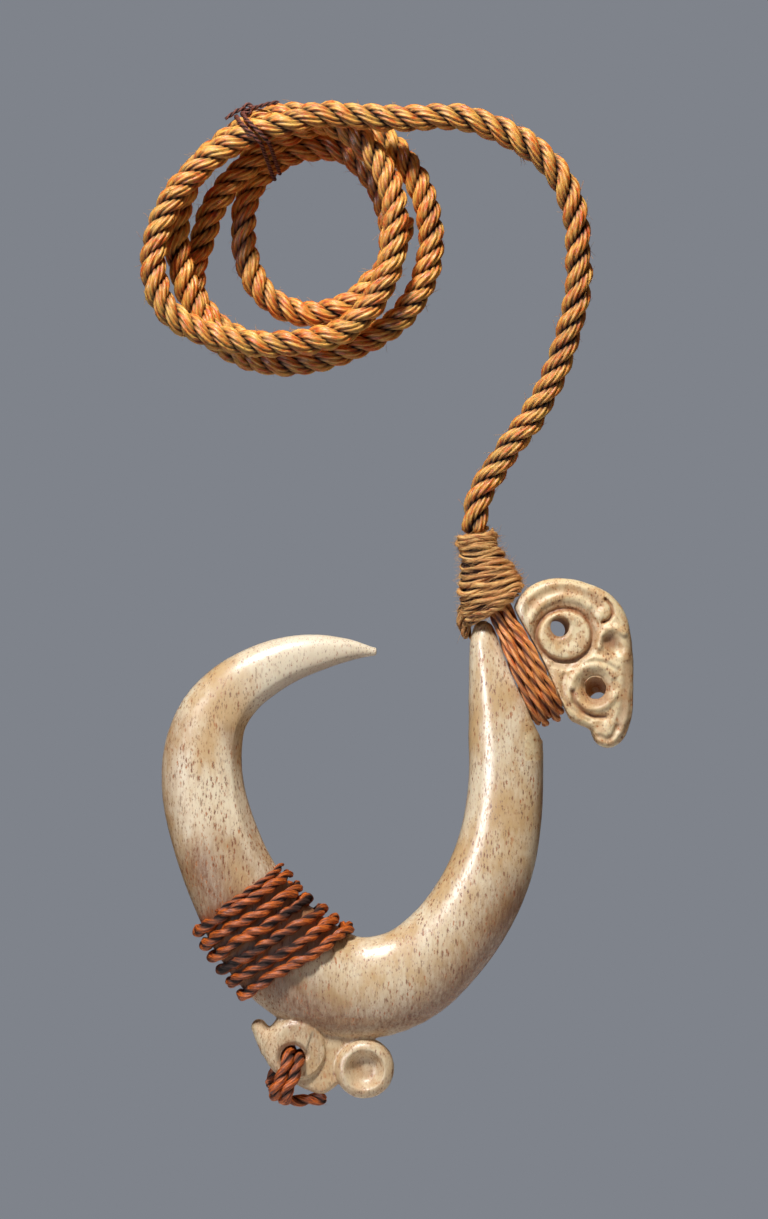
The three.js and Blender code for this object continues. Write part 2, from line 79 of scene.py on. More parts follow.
# %% [markdown]
# ## The camera
#
# The object is seen straight from the front with a long lens, so a millimetre has nearly the same
# number of pixels everywhere. The camera is placed so that the plane of the hook has one third of a
# millimetre to a pixel of a 768 by 1219 picture. An orthographic camera could do it too, but a real
# lens keeps the slight view round the edges that the eye expects.

# %% Camera at the photograph's angle
PICTURE_HEIGHT = 1219
MM_PER_PIXEL = 1 / 3
LENS, SENSOR = 120, 36
VIEW_CENTRE = (24.3, -149.8)

distance = LENS / SENSOR * PICTURE_HEIGHT * MM_PER_PIXEL
bpy.ops.object.camera_add(
    location=(VIEW_CENTRE[0] * MM, -distance * MM, VIEW_CENTRE[1] * MM), rotation=(math.pi / 2, 0, 0)
)
camera = bpy.context.object
camera.data.lens = LENS
bpy.context.scene.camera = camera
print("camera stands", round(distance), "mm in front")

# %% [markdown]
# ## Curves through lists of points
#
# Every cord follows a route, and a route is a short list of points that a smooth curve passes
# through. Blender's own curve objects could carry them, but the strands of a rope need the
# directions across the route as well, so the routes are worked out as numbers.

# %% Smooth curves in numbers
def smooth_table(table, places):
    """Values of an evenly spaced table at any places, on a smooth curve through its entries."""
    table = np.asarray(table, float)
    places = np.asarray(places, float)
    last = len(table) - 1
    i = np.minimum(places.astype(int), last - 1)
    a, b, c, d = (table[np.clip(i + k, 0, last)] for k in (-1, 0, 1, 2))
    f = places - i
    slope, next_slope = (c - a) / 2, (d - b) / 2
    bend, close = 3 * (c - b) - 2 * slope - next_slope, 2 * (b - c) + slope + next_slope
    return b + f * (slope + f * (bend + f * close))


def smooth_line(points, places):
    """Points at places, counted in spans, on a centripetal curve through a list of points."""
    points = np.asarray(points, float)
    padded = np.vstack([2 * points[0] - points[1], points, 2 * points[-1] - points[-2]])
    places = np.asarray(places, float)
    i = np.minimum(places.astype(int), len(points) - 2)
    f = (places - i)[:, None]
    a, b, c, d = (padded[i + k] for k in range(4))
    before, span, after = (
        np.sqrt(np.linalg.norm(q - p, axis=1))[:, None] for p, q in ((a, b), (b, c), (c, d))
    )
    slope = ((b - a) / before - (c - a) / (before + span) + (c - b) / span) * span
    next_slope = ((c - b) / span - (d - b) / (span + after) + (d - c) / after) * span
    bend, close = 3 * (c - b) - 2 * slope - next_slope, 2 * (b - c) + slope + next_slope
    return b + f * (slope + f * (bend + f * close))


def along_route(route):
    """How far each point of a route lies from its start."""
    return np.concatenate([[0], np.cumsum(np.linalg.norm(np.diff(route, axis=0), axis=1))])


def evenly(route, step):
    """The same route with its points one step apart."""
    far = along_route(route)
    places = np.linspace(0, far[-1], max(3, round(far[-1] / step) + 1))
    return np.stack([np.interp(places, far, route[:, k]) for k in range(3)], axis=1)


def smoothstep(value, low=0.0, high=1.0):
    part = np.clip((value - low) / (high - low), 0, 1)
    return part * part * (3 - 2 * part)


# %% [markdown]
# ## The route of the rope
#
# The rope is one length: up from the whipping in a free arch, then three and a half turns of coil
# behind one another. The arch is a list of given points. The coil is a table with its reach
# from the middle and its lane from front to back at each clock hour. All are in millimetres.

# %% Rope route
ROPE_DIAMETER = 9.2
SEAT_GAP, WIND_GAP = 0.3, 0.45
COIL_MIDDLE = (-8, -26)
COIL_START_ANGLE, COIL_HOUR_ANGLE = 60, 30
COIL_FRONT_DEPTH = -14
COIL_REACH = [
    45, 36.5, 35, 37, 42.5, 46.5, 40, 36, 37, 36, 36, 38.5,
    40.5, 40.5, 37.5, 37.5, 36.5, 37.5, 41.5, 42, 42.5, 47, 48, 47,
    45, 35.5, 28, 27, 28.5, 36, 37, 36, 36, 35.5, 35, 35.5,
    35.5, 29.5, 23, 17, 15, 15.5, 18.5, 23, 27.5, 31.5, 36.5,
]
COIL_LANE = [
    0, 0, 0, 0, 0, 0, 0, 0, 0, 0, 0.1, 0.45,
    1, 1, 1, 1, 1, 1, 1, 1, 1, 1, 1.05, 1.4,
    2, 2, 2, 2, 2, 2, 2, 2, 2, 2, 2.1, 2.4,
    2.7, 2.85, 2.95, 2.9, 2.8, 2.75, 2.75, 2.8, 2.9, 3, 3.15,
]
CORE_TOP = (54.6, -124.6)
CORE_TOP_TILT = -4
FREE_ROUTE = [
    (58, -0.3, -108), (62.3, -1, -101), (67, -2, -94.2), (73.2, -3.2, -86.3), (77.3, -4.3, -79.3),
    (83.3, -6.2, -64.7), (87.9, -8.6, -48), (88.7, -10, -34), (87.6, -11.4, -20),
    (83.5, -12.4, -8.7), (76.5, -13, -0.3), (66, -13.6, 6.7), (55, -14, 11.3), (44, -14, 13),
]


def coil_points(hours):
    angle = np.radians(COIL_START_ANGLE + COIL_HOUR_ANGLE * hours)
    reach = smooth_table(COIL_REACH, hours)
    lane = smooth_table(COIL_LANE, hours)
    depth = COIL_FRONT_DEPTH + (ROPE_DIAMETER + WIND_GAP) * lane
    x, z = (COIL_MIDDLE[0] + reach * np.cos(angle), COIL_MIDDLE[1] + reach * np.sin(angle))
    return np.stack([x, depth, z], axis=1)


def up_at(tilt):
    tilt = math.radians(tilt)
    return np.array([-math.sin(tilt), 0, math.cos(tilt)])


def unit(vector):
    return vector / np.linalg.norm(vector)


coil = coil_points(np.arange(0, len(COIL_REACH) - 0.9, 0.5))
lead, trail = unit(coil[0] - coil[1]), unit(coil[-1] - coil[-2])
rope_start = np.array([CORE_TOP[0], 0, CORE_TOP[1]]) + SEAT_GAP * up_at(CORE_TOP_TILT)
rope_points = [
    rope_start, rope_start + ROPE_DIAMETER * up_at(CORE_TOP_TILT), *np.array(FREE_ROUTE),
    coil[0] + (2 * ROPE_DIAMETER + SEAT_GAP) * lead, *coil, coil[-1] + ROPE_DIAMETER * trail,
]
rope_route = smooth_line(rope_points, np.linspace(0, len(rope_points) - 1, 12 * len(rope_points)))
rope_route = evenly(rope_route, 1.2)

# %% [markdown]
# ## Twisting strands into a cord
#
# A laid rope is three strands that wind round each other, and each strand is a bundle of yarns
# that is twisted the other way. A flat normal map on a round tube never catches the light like
# that, so the strands are real geometry. The cross directions are carried along the route without
# twist, each strand circles the route in them, and its section has a lobe for each yarn.
# The mesh lines turn with the yarns, so that the lobes stay clean. Each point also keeps where it
# lies along and round its yarn, for the fibre lines in the finish, and how deep it lies in the lay.

# %% Helpers that make laid cords
BLUNT_END = 0.35
HAIR_REACH, HAIR_ROOT_DEPTH = 2.4, 0.2


def carried(route):
    """Direction along a route and two directions across it that are carried without twist."""
    along = np.gradient(route, axis=0)
    along /= np.linalg.norm(along, axis=1)[:, None]
    side = np.cross([0, 1, 0], along[0])
    if np.linalg.norm(side) < 0.2:
        side = np.cross([1, 0, 0], along[0])
    sides = []
    for direction in along:
        side = unit(side - side.dot(direction) * direction)
        sides.append(side)
    sides = np.array(sides)
    return along, sides, np.cross(along, sides)


def tube(middle, radius, sides, turn=0.0, out=None, swell=None):
    """Rings of points round a line. turn rotates the rings, swell changes the radius round them."""
    if out is None:
        along, out, across = carried(middle)
    else:
        along = np.gradient(middle, axis=0)
        along /= np.linalg.norm(along, axis=1)[:, None]
        across = np.cross(along, out)
        across /= np.linalg.norm(across, axis=1)[:, None]
        out = np.cross(across, along)
    round_it = np.arange(sides) / sides * 2 * math.pi
    angle = round_it[None, :] + np.broadcast_to(turn, len(middle))[:, None]
    reach = np.broadcast_to(radius, len(middle))[:, None] * (1 if swell is None else swell)
    reach = np.broadcast_to(reach, angle.shape)
    rings = middle[:, None, :] + (reach * np.cos(angle))[..., None] * out[:, None, :]
    rings = rings + (reach * np.sin(angle))[..., None] * across[:, None, :]
    length = along_route(middle)[:, None] + 0 * angle
    fibre = np.stack([np.cos(round_it) + 0 * angle, np.sin(round_it) + 0 * angle, length], axis=2)
    return rings, fibre


def ends_drawn_in(count, rings):
    """Radius factors that draw the last few rings of a tube in to a rounded end."""
    place = np.minimum(np.arange(count), np.arange(count)[::-1]) / rings
    return BLUNT_END + (1 - BLUNT_END) * np.sqrt(1 - (1 - np.clip(place, 0, 1)) ** 2)


def slow_noise(rng, far, spacing):
    """Numbers round 0 that change slowly along a route."""
    knots = np.arange(0, far[-1] + 2 * spacing, spacing)
    return smooth_table(rng.normal(0, 1, len(knots)), far / spacing)


def laid(route, step, plies, ply_radius, lay_radius, pitch, sides, hand=1,
         yarns=0, yarn_depth=0.0, yarn_pitch=1e9, wander=0.0, loose=0.0, draw=4, seed=0):
    """Tubes of the plies of a cord along a route. pitch is a number or a rule of the way gone."""
    rng = np.random.default_rng(seed)
    route = evenly(route, step)
    along, side, other = carried(route)
    far = along_route(route)
    round_it = np.arange(sides) / sides * 2 * math.pi
    pitches = pitch(far) if callable(pitch) else np.full(len(far), float(pitch))
    lay = hand * 2 * math.pi * np.cumsum(np.gradient(far) / pitches)
    stray = loose * np.stack([slow_noise(rng, far, 9) for _ in range(3)], axis=1)
    tubes = []
    for ply in range(plies):
        turn = lay + 2 * math.pi * ply / plies
        drift, swing = slow_noise(rng, far, 6), slow_noise(rng, far, 8)
        turn = turn + wander * swing * 0.5
        out = side * np.cos(turn)[:, None] + other * np.sin(turn)[:, None]
        middle = route + stray + (lay_radius * (1 + wander * drift * 0.3))[:, None] * out
        drawn_in = ends_drawn_in(len(route), draw)
        radius = ply_radius * (1 + wander * drift * 0.2) * drawn_in
        swell = 1 - yarn_depth * (0.5 - 0.5 * np.cos(yarns * round_it)) ** 2 if yarns else None
        yarn_turn = -hand * 2 * math.pi * far / yarn_pitch
        rings, fibre = tube(middle, radius, sides, yarn_turn, out, swell)
        fibre[..., 2] += 37.0 * ply
        depth = np.linalg.norm(rings - route[:, None, :], axis=2) / (ply_radius + lay_radius)
        tubes.append((rings, fibre, (1 - depth) * smoothstep(drawn_in, BLUNT_END, 1)[:, None]))
    return tubes


def keep(mesh, name, values):
    """Store one number for each point of a mesh, for its finish."""
    made = mesh.attributes.new(name, "FLOAT", "POINT")
    made.data.foreach_set("value", values.astype(np.float32))


def skin(name, tubes):
    """One mesh object from tubes, each closed at both ends, with fibre and crevice attributes."""
    points, fibres, crevices, faces, start = [], [], [], [], 0
    for rings, fibre, crevice in tubes:
        count, sides = rings.shape[:2]
        points.append(rings.reshape(-1, 3))
        fibres.append(fibre.reshape(-1, 3))
        crevices.append(crevice.reshape(-1))
        ring_start = start + np.arange(count - 1)[:, None] * sides
        this, following = ring_start + np.arange(sides), ring_start + (np.arange(sides) + 1) % sides
        quads = np.stack([this, following, following + sides, this + sides], axis=2)
        faces += quads.reshape(-1, 4).tolist()
        faces.append(list(range(start + sides - 1, start - 1, -1)))
        faces.append(list(range(start + (count - 1) * sides, start + count * sides)))
        start += count * sides
    mesh = bpy.data.meshes.new(name)
    mesh.from_pydata((np.vstack(points) * MM).tolist(), [], faces)
    lie = mesh.attributes.new("fibre", "FLOAT_VECTOR", "POINT")
    lie.data.foreach_set("vector", np.vstack(fibres).astype(np.float32).ravel())
    keep(mesh, "crevice", np.concatenate(crevices))
    mesh.shade_smooth()
    made = bpy.data.objects.new(name, mesh)
    bpy.context.scene.collection.objects.link(made)
    return made


def hairs(tubes, count, length, thickness, seed, lift=0.5):
    """Loose fibre ends that stand off the surface of tubes, as thin tubes of their own."""
    rng = np.random.default_rng(seed)
    surface = np.vstack([rings[2:-2].reshape(-1, 3) for rings, _, _ in tubes])
    centres = np.vstack([
        np.repeat(rings[2:-2].mean(axis=1), rings.shape[1], axis=0) for rings, _, _ in tubes
    ])
    depths = np.concatenate([crevice[2:-2].reshape(-1) for _, _, crevice in tubes])
    runs = np.vstack([
        np.repeat(np.gradient(rings.mean(axis=1), axis=0)[2:-2], rings.shape[1], axis=0)
        for rings, _, _ in tubes
    ])
    shown = np.flatnonzero(depths < HAIR_ROOT_DEPTH)
    made = []
    for index in rng.choice(shown, count):
        normal, run = unit(surface[index] - centres[index]), unit(runs[index])
        if rng.random() < 0.5:
            run = -run
        size = length * (0.4 + rng.random())
        sag = rng.normal(0, 0.5, 3)
        part = np.linspace(0, 1, 5)[:, None]
        reach = lift * size * (part * (0.4 + 0.6 * rng.random()) + 0.3 * part**2 * rng.normal())
        line = part * size * run * 0.8 + reach * normal + part**2 * size * 0.25 * sag
        line = line * min(1, HAIR_REACH / np.abs(line @ normal).max())
        line = surface[index] - 0.15 * normal + line
        rings, fibre = tube(line, thickness * np.linspace(1, 0.45, 5), 3)
        made.append((rings, fibre, np.full(rings.shape[:2], 0.05)))
    return made


# %% [markdown]
# ## Where a piece belongs
#
# Each finished piece rides on a CAD body and stands for the plain solids in its place. One helper
# says both, so that neither is forgotten.

# %% Helper that hands a piece over
def settle(piece, body, slot, *nodes):
    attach(piece, body)
    if nodes:
        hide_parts(*nodes)
    triangles = sum(len(p.vertices) - 2 for p in piece.data.polygons)
    print(f"{piece.name}: {triangles} triangles, rides on {body}")


# %% [markdown]
# ## The rope
#
# Three strands of seven yarns each, with the yarns twisted against the lay. A hanging rope is
# laid more tightly where it is coiled, so a turn takes 22 mm in the free arch and 18.5 mm in the
# coil. Loose fibre ends belong to the look of plant fibre, and are in the same mesh.

# %% Rope
def rope_pitch(far):
    return 22 - 3.5 * smoothstep(far, 150, 260)


rope_tubes = laid(
    rope_route, step=1.15, plies=3, ply_radius=2.16, lay_radius=2.44, pitch=rope_pitch, sides=28,
    yarns=7, yarn_depth=0.33, yarn_pitch=12.5, wander=0.14, draw=2, seed=1
)
rope_hairs = hairs(rope_tubes, count=1500, length=3.4, thickness=0.08, seed=2)
rope = skin("rope", rope_tubes + rope_hairs)
settle(rope, "line", "rope", "rope_free_stretch", "rope_coil")

# %% [markdown]
# ## The coil's tie
#
# A dark twine binds the turns at the upper left. It goes round all of them twice, and its short
# ends stand out from a knot at the outer edge. It touches whichever turn lies outermost in each
# direction, so its route is found from the coil's own points.

# %% Coil tie
TIE_ANGLE, TIE_TURNS, TIE_PITCH, TIE_STEPS, TIE_LEAN = 110, 2.1, 2.3, 24, 4
TIE_HOLD = ROPE_DIAMETER / 2 + 0.75
KNOT_RADIUS, KNOT_TURN = 1.5, 2.3 * math.pi


def tie_route():
    turns_there = [(360 * turn + TIE_ANGLE - COIL_START_ANGLE) / COIL_HOUR_ANGLE for turn in range(4)]
    out = np.array([math.cos(math.radians(TIE_ANGLE)), 0, math.sin(math.radians(TIE_ANGLE))])
    across = np.array([-out[2], 0, out[0]])
    here = coil_points(np.array(turns_there))
    ahead = coil_points(np.array(turns_there) + 0.1) - here
    line = []
    for i in range(round(TIE_TURNS * TIE_STEPS) + 1):
        turn = i / TIE_STEPS * 2 * math.pi
        shift = TIE_PITCH * (i / TIE_STEPS - TIE_TURNS / 2) - TIE_LEAN * (1 - math.cos(turn)) / 2
        facing = out * math.cos(turn) + np.array([0, 1, 0]) * math.sin(turn)
        middles = here + ahead * (shift / (ahead @ across))[:, None]
        line.append(middles[np.argmax(middles @ facing)] + TIE_HOLD * facing)
    return np.array(line)


tie_line = tie_route()
knot_at = tie_line[0]
tails = [
    smooth_line(knot_at + np.array(shifts), np.linspace(0, len(shifts) - 1, 4 * len(shifts) - 3))
    for shifts in (
        [(0, 0, 0), (-2.6, -1.8, -0.2), (-7.6, -1.5, -3.4)],
        [(0, 0, 0), (2.2, -2.6, 0.2), (6, -5.6, 0.9), (10.5, -7.2, 1.6)],
    )
]
knot_loop = [knot_at + (KNOT_RADIUS * math.cos(a), -1.2 - 0.4 * math.cos(a), KNOT_RADIUS * math.sin(a))
             for a in np.linspace(0, KNOT_TURN, 20)]
tie_tubes = []
for line in (tie_line, *tails, np.array(knot_loop)):
    tie_tubes += laid(line, step=0.7, plies=2, ply_radius=0.42, lay_radius=0.34, pitch=5, sides=8,
                      hand=-1, draw=2, seed=3)
tie_hairs = hairs(tie_tubes, count=60, length=2.0, thickness=0.05, seed=4)
tie = skin("coil_tie_twine", tie_tubes + tie_hairs)
settle(tie, "line", "dark_twine", "coil_tie")

# %% [markdown]
# Its length is that of the way it takes in the photograph. The far end is cut off behind the
# coil.

tuple(rope_route[0] * MM)
(rope_route * MM).tolist()

# %% [markdown]
# ## Whipping
#
# The cone below the rope is flax twine wound over the strands' ends. Its rows are soft, flat
# bundles of fibre, nearly level at the top and steeper towards the foot. A round tube would look
# like wire, so each row is several thin plies with little twist that wander a little. Four short
# bands close the foot at the front, and a tuft of loose ends hangs beside the shank's tip.

# %% Whipping
NECK_MIDDLE, NECK_TILT, NECK_RADIUS = (76.4, -179.1), 24.7, 5.5
SNOOD_HEIGHT, SNOOD_SHIFT = 34, -1.4
CORE_FOOT_TILT, CORE_TOP_RADIUS, CORE_FOOT_WIDTH, CORE_FOOT_DEPTH = 32, 3.6, 18.8, 12.8
CORE_TILT, CORE_SIDES, CORE_RINGS = 12, 32, 26
WHIP_TURNS, WHIP_STEPS = 9.4, 40
BANDS = [(0.965, 1.7), (0.99, 1.1), (1.01, 0.6)]
LOWEST_BAND_PART, LOWEST_BAND_LIFT = 1.018, 0.7
TUFT = [
    [(53.4, 2.6, -146), (50.9, 4.4, -152.6), (51.4, 4.8, -158.8)],
    [(54.6, 3.6, -146), (52.5, 5.4, -153), (52.3, 5.8, -159.6)],
    [(52.6, 1.6, -146), (49.9, 3.2, -150.6), (50.2, 4.2, -155.6)],
]
neck_along = np.array([math.cos(math.radians(NECK_TILT)), 0, math.sin(math.radians(NECK_TILT))])
neck_up = up_at(NECK_TILT)


def by_neck(s, h, y):
    """Point s along the neck, h above it towards the whipping, and y deep."""
    return np.array([NECK_MIDDLE[0], y, NECK_MIDDLE[1]]) + s * neck_along + h * neck_up


core_head = np.array([CORE_TOP[0], 0, CORE_TOP[1]])
core_foot = by_neck(SNOOD_SHIFT, SNOOD_HEIGHT, 0)


def core_points(part, turn, offset):
    """Points of the cone's surface, part of the way down it and turned round it."""
    part, turn = np.broadcast_arrays(np.asarray(part, float), np.asarray(turn, float))
    tilt = np.radians(CORE_TILT + (CORE_FOOT_TILT - CORE_TILT) * part)
    grow = smoothstep(part)
    wide = CORE_TOP_RADIUS + (CORE_FOOT_WIDTH / 2 - CORE_TOP_RADIUS) * grow + offset
    deep = CORE_TOP_RADIUS + (CORE_FOOT_DEPTH / 2 - CORE_TOP_RADIUS) * grow + offset
    middle = core_head + part[..., None] * (core_foot - core_head)
    across = np.stack([np.cos(tilt), 0 * tilt, np.sin(tilt)], axis=-1)
    point = middle + (wide * np.cos(turn))[..., None] * across
    point[..., 1] += deep * np.sin(turn)
    return point


core_turns = np.arange(CORE_SIDES) / CORE_SIDES * 2 * math.pi
core_parts = np.linspace(0.02, 0.97, CORE_RINGS)
core_rings = np.array([core_points(part, core_turns, 0.4) for part in core_parts])
core_fibre = np.stack(
    np.broadcast_arrays(core_parts[:, None] * 30, np.cos(core_turns), np.sin(core_turns)), axis=2
)
# the core counts as deep in the lay, so its finish paints it dark with the full painted shade
core_tube = (core_rings[::-1], core_fibre[::-1], np.full((CORE_RINGS, CORE_SIDES), 0.75))
places = np.linspace(0, 1, round(WHIP_TURNS * WHIP_STEPS) + 1)
whip_part = -0.005 + 0.96 * places
whip_lift = 1.0 + 0.3 * np.sin(places * 31) * places + 0.5 * np.exp(-(places * WHIP_TURNS) ** 2)
whip_route = core_points(whip_part, places * WHIP_TURNS * 2 * math.pi, whip_lift)
whip_tubes = laid(whip_route, step=0.7, plies=5, ply_radius=0.62, lay_radius=0.88, pitch=32, sides=9,
                  wander=1.1, loose=0.2, draw=3, seed=5)
whip_tubes += laid(whip_route, step=0.8, plies=3, ply_radius=0.42, lay_radius=1.15, pitch=26, sides=8,
                   wander=0.8, draw=3, seed=6)
for k, (part, lift) in enumerate(BANDS):
    band_turns = np.linspace(1.12 + 0.1 * k, 2.02 - 0.06 * k, 40) * math.pi
    whip_tubes += laid(
        core_points(part, band_turns, lift), step=0.7, plies=3, ply_radius=0.66, lay_radius=0.66,
        pitch=13, sides=12, yarns=4, yarn_depth=0.2, wander=0.7, loose=0.25, draw=5, seed=7 + k
    )
for k, points in enumerate(TUFT):
    line = smooth_line(points, np.linspace(0, 2, 12))
    whip_tubes += laid(line, step=0.8, plies=5, ply_radius=0.62, lay_radius=0.9, pitch=16, sides=8,
                       wander=0.8, draw=4, seed=17 + k)
lowest_turns = np.linspace(1.06, 1.6, 30) * math.pi
lowest_band = core_points(LOWEST_BAND_PART, lowest_turns, LOWEST_BAND_LIFT)
whip_tubes += laid(lowest_band, step=0.7, plies=3, ply_radius=0.56, lay_radius=0.6, pitch=13, sides=12,
                   wander=0.6, loose=0.15, draw=5, seed=11)
whip_hairs = hairs(whip_tubes, count=3600, length=4.4, thickness=0.06, seed=21, lift=0.32)
whipping = skin("whipping_twine", [core_tube] + whip_tubes + whip_hairs)
settle(whipping, "line", "flax_twine", "whipping", "snood_core")

# %% [markdown]
# ## Snood strands
#
# Five glossy two-ply strands come out of the whipping, run down the front of the neck, round under
# it and up the back again. They lie in two layers, so that the outer ones ride on the inner ones.

# %% Snood strands
STRAND_COUNT, STRAND_DIAMETER, STRAND_PITCH, STRAND_LAYER = 5, 2.3, 2.05, 1.7
STRAND_TOP_PITCH, STRAND_TOP_DEPTH, STRAND_TOP_LAYER = 1.4, 2.4, 2.5


def strand_route(index):
    place = index - (STRAND_COUNT - 1) / 2
    layer = index % 2
    radius = NECK_RADIUS + SEAT_GAP + STRAND_DIAMETER / 2 + layer * STRAND_LAYER
    top_depth = STRAND_TOP_DEPTH + layer * STRAND_TOP_LAYER
    slope = math.tan(math.radians(CORE_FOOT_TILT - NECK_TILT))
    top = SNOOD_HEIGHT - SEAT_GAP + slope * (place * STRAND_TOP_PITCH - SNOOD_SHIFT)
    first = STRAND_DIAMETER / top
    stops = [-0.04, 0, *(first + (1 - first) * np.arange(1, 10) / 9)]

    def side(f, sign):
        spread = smoothstep(max(0, (f * top - STRAND_DIAMETER) / (top - STRAND_DIAMETER)) * 1.3)
        s = place * (STRAND_TOP_PITCH + (STRAND_PITCH - STRAND_TOP_PITCH) * spread)
        return by_neck(s, top * (1 - f), sign * (top_depth + (radius - top_depth) * spread))

    bend = [by_neck(place * STRAND_PITCH, -radius * math.sin(a), -radius * math.cos(a))
            for a in np.arange(1, 12) / 12 * math.pi]
    return np.array([side(f, -1) for f in stops] + bend + [side(f, 1) for f in reversed(stops)])


for k in range(STRAND_COUNT):
    strand_tubes = laid(
        strand_route(k), step=0.6, plies=2, ply_radius=0.88, lay_radius=0.5, pitch=17.5 - k * 0.9,
        sides=20, hand=-1, yarns=5, yarn_depth=0.14, yarn_pitch=40, wander=0.32, loose=0.1, seed=30 + k
    )
    strand_hairs = hairs(strand_tubes, count=18, length=2.2, thickness=0.045, seed=40 + k)
    strand = skin(f"strand_{k + 1}", strand_tubes + strand_hairs)
    settle(strand, "line", "snood_strand", f"snood_strand_{k + 1}")

# %% [markdown]
# ## The bone's own curve
#
# The hook is described as stations along its middle, each with a width and a depth. The same table
# shapes the bone and carries the lashing, which is wound on the bone's surface.

# %% Bone stations
HOOK_STATIONS = np.array([
    (21.8, -163.9, 2.6, 2.6), (13, -163.3, 7.2, 6.5), (3.4, -164, 11.8, 9.5), (-6, -166, 15, 12),
    (-14.5, -169.4, 17.4, 14), (-24.6, -175.8, 20, 15.5), (-32.4, -185, 23, 16.5),
    (-36, -197, 26, 17), (-35.8, -211, 27.6, 17.5), (-31.6, -227, 28.8, 18.5),
    (-25.6, -241.5, 30.5, 19.5), (-16.4, -256.5, 34, 20), (-3, -269.5, 36.5, 20),
    (14, -276, 34.5, 20), (31, -272.6, 32.5, 20), (44.2, -262, 30, 20), (54, -248.8, 28.7, 19.5),
    (60.4, -235, 27.5, 19), (63.6, -221.5, 26, 18.5), (65, -205, 24.8, 18), (64.4, -190, 24.2, 17.5),
    (61.6, -178, 18.8, 16), (59, -167.5, 13, 13), (57.7, -159.5, 9.4, 10), (57.4, -154.9, 5.6, 6),
    (57.4, -153.5, 2, 2.4),
])
BONE_SQUARENESS, EDGE_SQUARENESS = 2.1, 2.9
BEVEL_WIDTH = [0, 1.2, 1.8, 2.2, 2.6, 2.8, 2.8, 2.8, 3.4, 4.2, 3.6, 0] + [0] * 14
bone_line = np.insert(HOOK_STATIONS[:, :2], 1, 0, axis=1)


def squared(value, squareness):
    return np.sign(value) * np.abs(value) ** (2 / squareness)


def bone_points(place, turns, offset, worked=False):
    """Points of the bone's surface at a station, turned round its section and lifted."""
    last = len(HOOK_STATIONS) - 1
    near = smooth_line(bone_line, [max(0, place - 0.002), place, min(last, place + 0.002)])
    along = unit(near[2] - near[0])
    outward = np.array([along[2], 0, -along[0]])
    half_width = smooth_table(HOOK_STATIONS[:, 2], place) / 2 + offset
    half_depth = smooth_table(HOOK_STATIONS[:, 3], place) / 2 + offset
    turns = np.atleast_1d(turns)
    wide = squared(np.cos(turns), BONE_SQUARENESS)
    deep = squared(np.sin(turns), BONE_SQUARENESS)
    bevel = smooth_table(BEVEL_WIDTH, place)
    if worked and bevel > 0.5:
        edge = (wide < 0) & (deep < 0)
        share = smoothstep(bevel, 0.5, 3)
        squareness = BONE_SQUARENESS + (EDGE_SQUARENESS - BONE_SQUARENESS) * share
        wide = np.where(edge, squared(np.cos(turns), squareness), wide)
        deep = np.where(edge, squared(np.sin(turns), squareness), deep)
        crease = 1 - bevel / half_width
        level = (1 - max(crease, 0) ** squareness) ** (1 / squareness)
        slope = level + (0.3 - level) * np.clip((-wide - crease) / (1 - crease), 0, 1)
        deep = np.where(edge & (-wide > crease), -np.minimum(-deep, slope), deep)
    point = near[1] + (half_width * wide)[:, None] * outward
    point[:, 1] += half_depth * deep
    return point


# %% [markdown]
# ## Bait lashing
#
# A two-ply cord goes round the left leg nearly six times with clear gaps between its turns. The
# turns lie in parallel slanting planes, so each point is looked for where its plane meets the bone.
# The thin end that shows above the first turn is tucked in under it.

# %% Lashing route and cord
LASHING_DIAMETER, LASHING_PITCH, LASHING_TURNS, LASHING_SLOPE = 3.5, 5.1, 5.5, 28.3
LASHING_START, LASHING_STATIONS = (-6.6, -237.3), (8.0, 15.0)
HALVINGS = 24
down = np.array([math.sin(math.radians(LASHING_SLOPE)), 0, -math.cos(math.radians(LASHING_SLOPE))])
first_plane = np.array([LASHING_START[0], 0, LASHING_START[1]]) @ down


def lashing_point(turns, lift):
    turn, plane = math.pi * (1 + 2 * turns), first_plane + LASHING_PITCH * turns
    low, high = LASHING_STATIONS
    for _ in range(HALVINGS):
        middle = (low + high) / 2
        if bone_points(middle, turn, lift)[0] @ down < plane:
            low = middle
        else:
            high = middle
    return bone_points(low, turn, lift)[0]


lashing_lift = LASHING_DIAMETER / 2 + 0.1
lashing_route = np.array([
    lashing_point(t, lashing_lift) for t in np.linspace(0, LASHING_TURNS, round(LASHING_TURNS * 36))
])
lashing_tubes = laid(
    lashing_route, step=0.7, plies=2, ply_radius=1.2, lay_radius=0.84, pitch=12.5, sides=24,
    yarns=6, yarn_depth=0.18, yarn_pitch=26, wander=0.45, loose=0.3, seed=50
)
tuck = np.array([lashing_point(t, 1.5) for t in np.linspace(0.03, 0.34, 14)])
tuck[:, 2] += np.linspace(3.6, 2.1, 14)
tuck[:, 0] -= np.linspace(1.6, 0.4, 14)
lashing_tubes += laid(tuck, step=0.8, plies=2, ply_radius=0.7, lay_radius=0.6, pitch=9, sides=14,
                      yarns=3, yarn_depth=0.1, wander=0.3, seed=51)
lashing_hairs = hairs(lashing_tubes, count=160, length=1.8, thickness=0.045, seed=52)
lashing = skin("bait_lashing_cord", lashing_tubes + lashing_hairs)
settle(lashing, "hook", "bait_cord", "bait_lashing")

# %% [markdown]
# ## Bait cord
#
# The cord through the lug's eye is a loose doubled loop with a short tail. Like the lashing it is
# two plies, a little thinner.

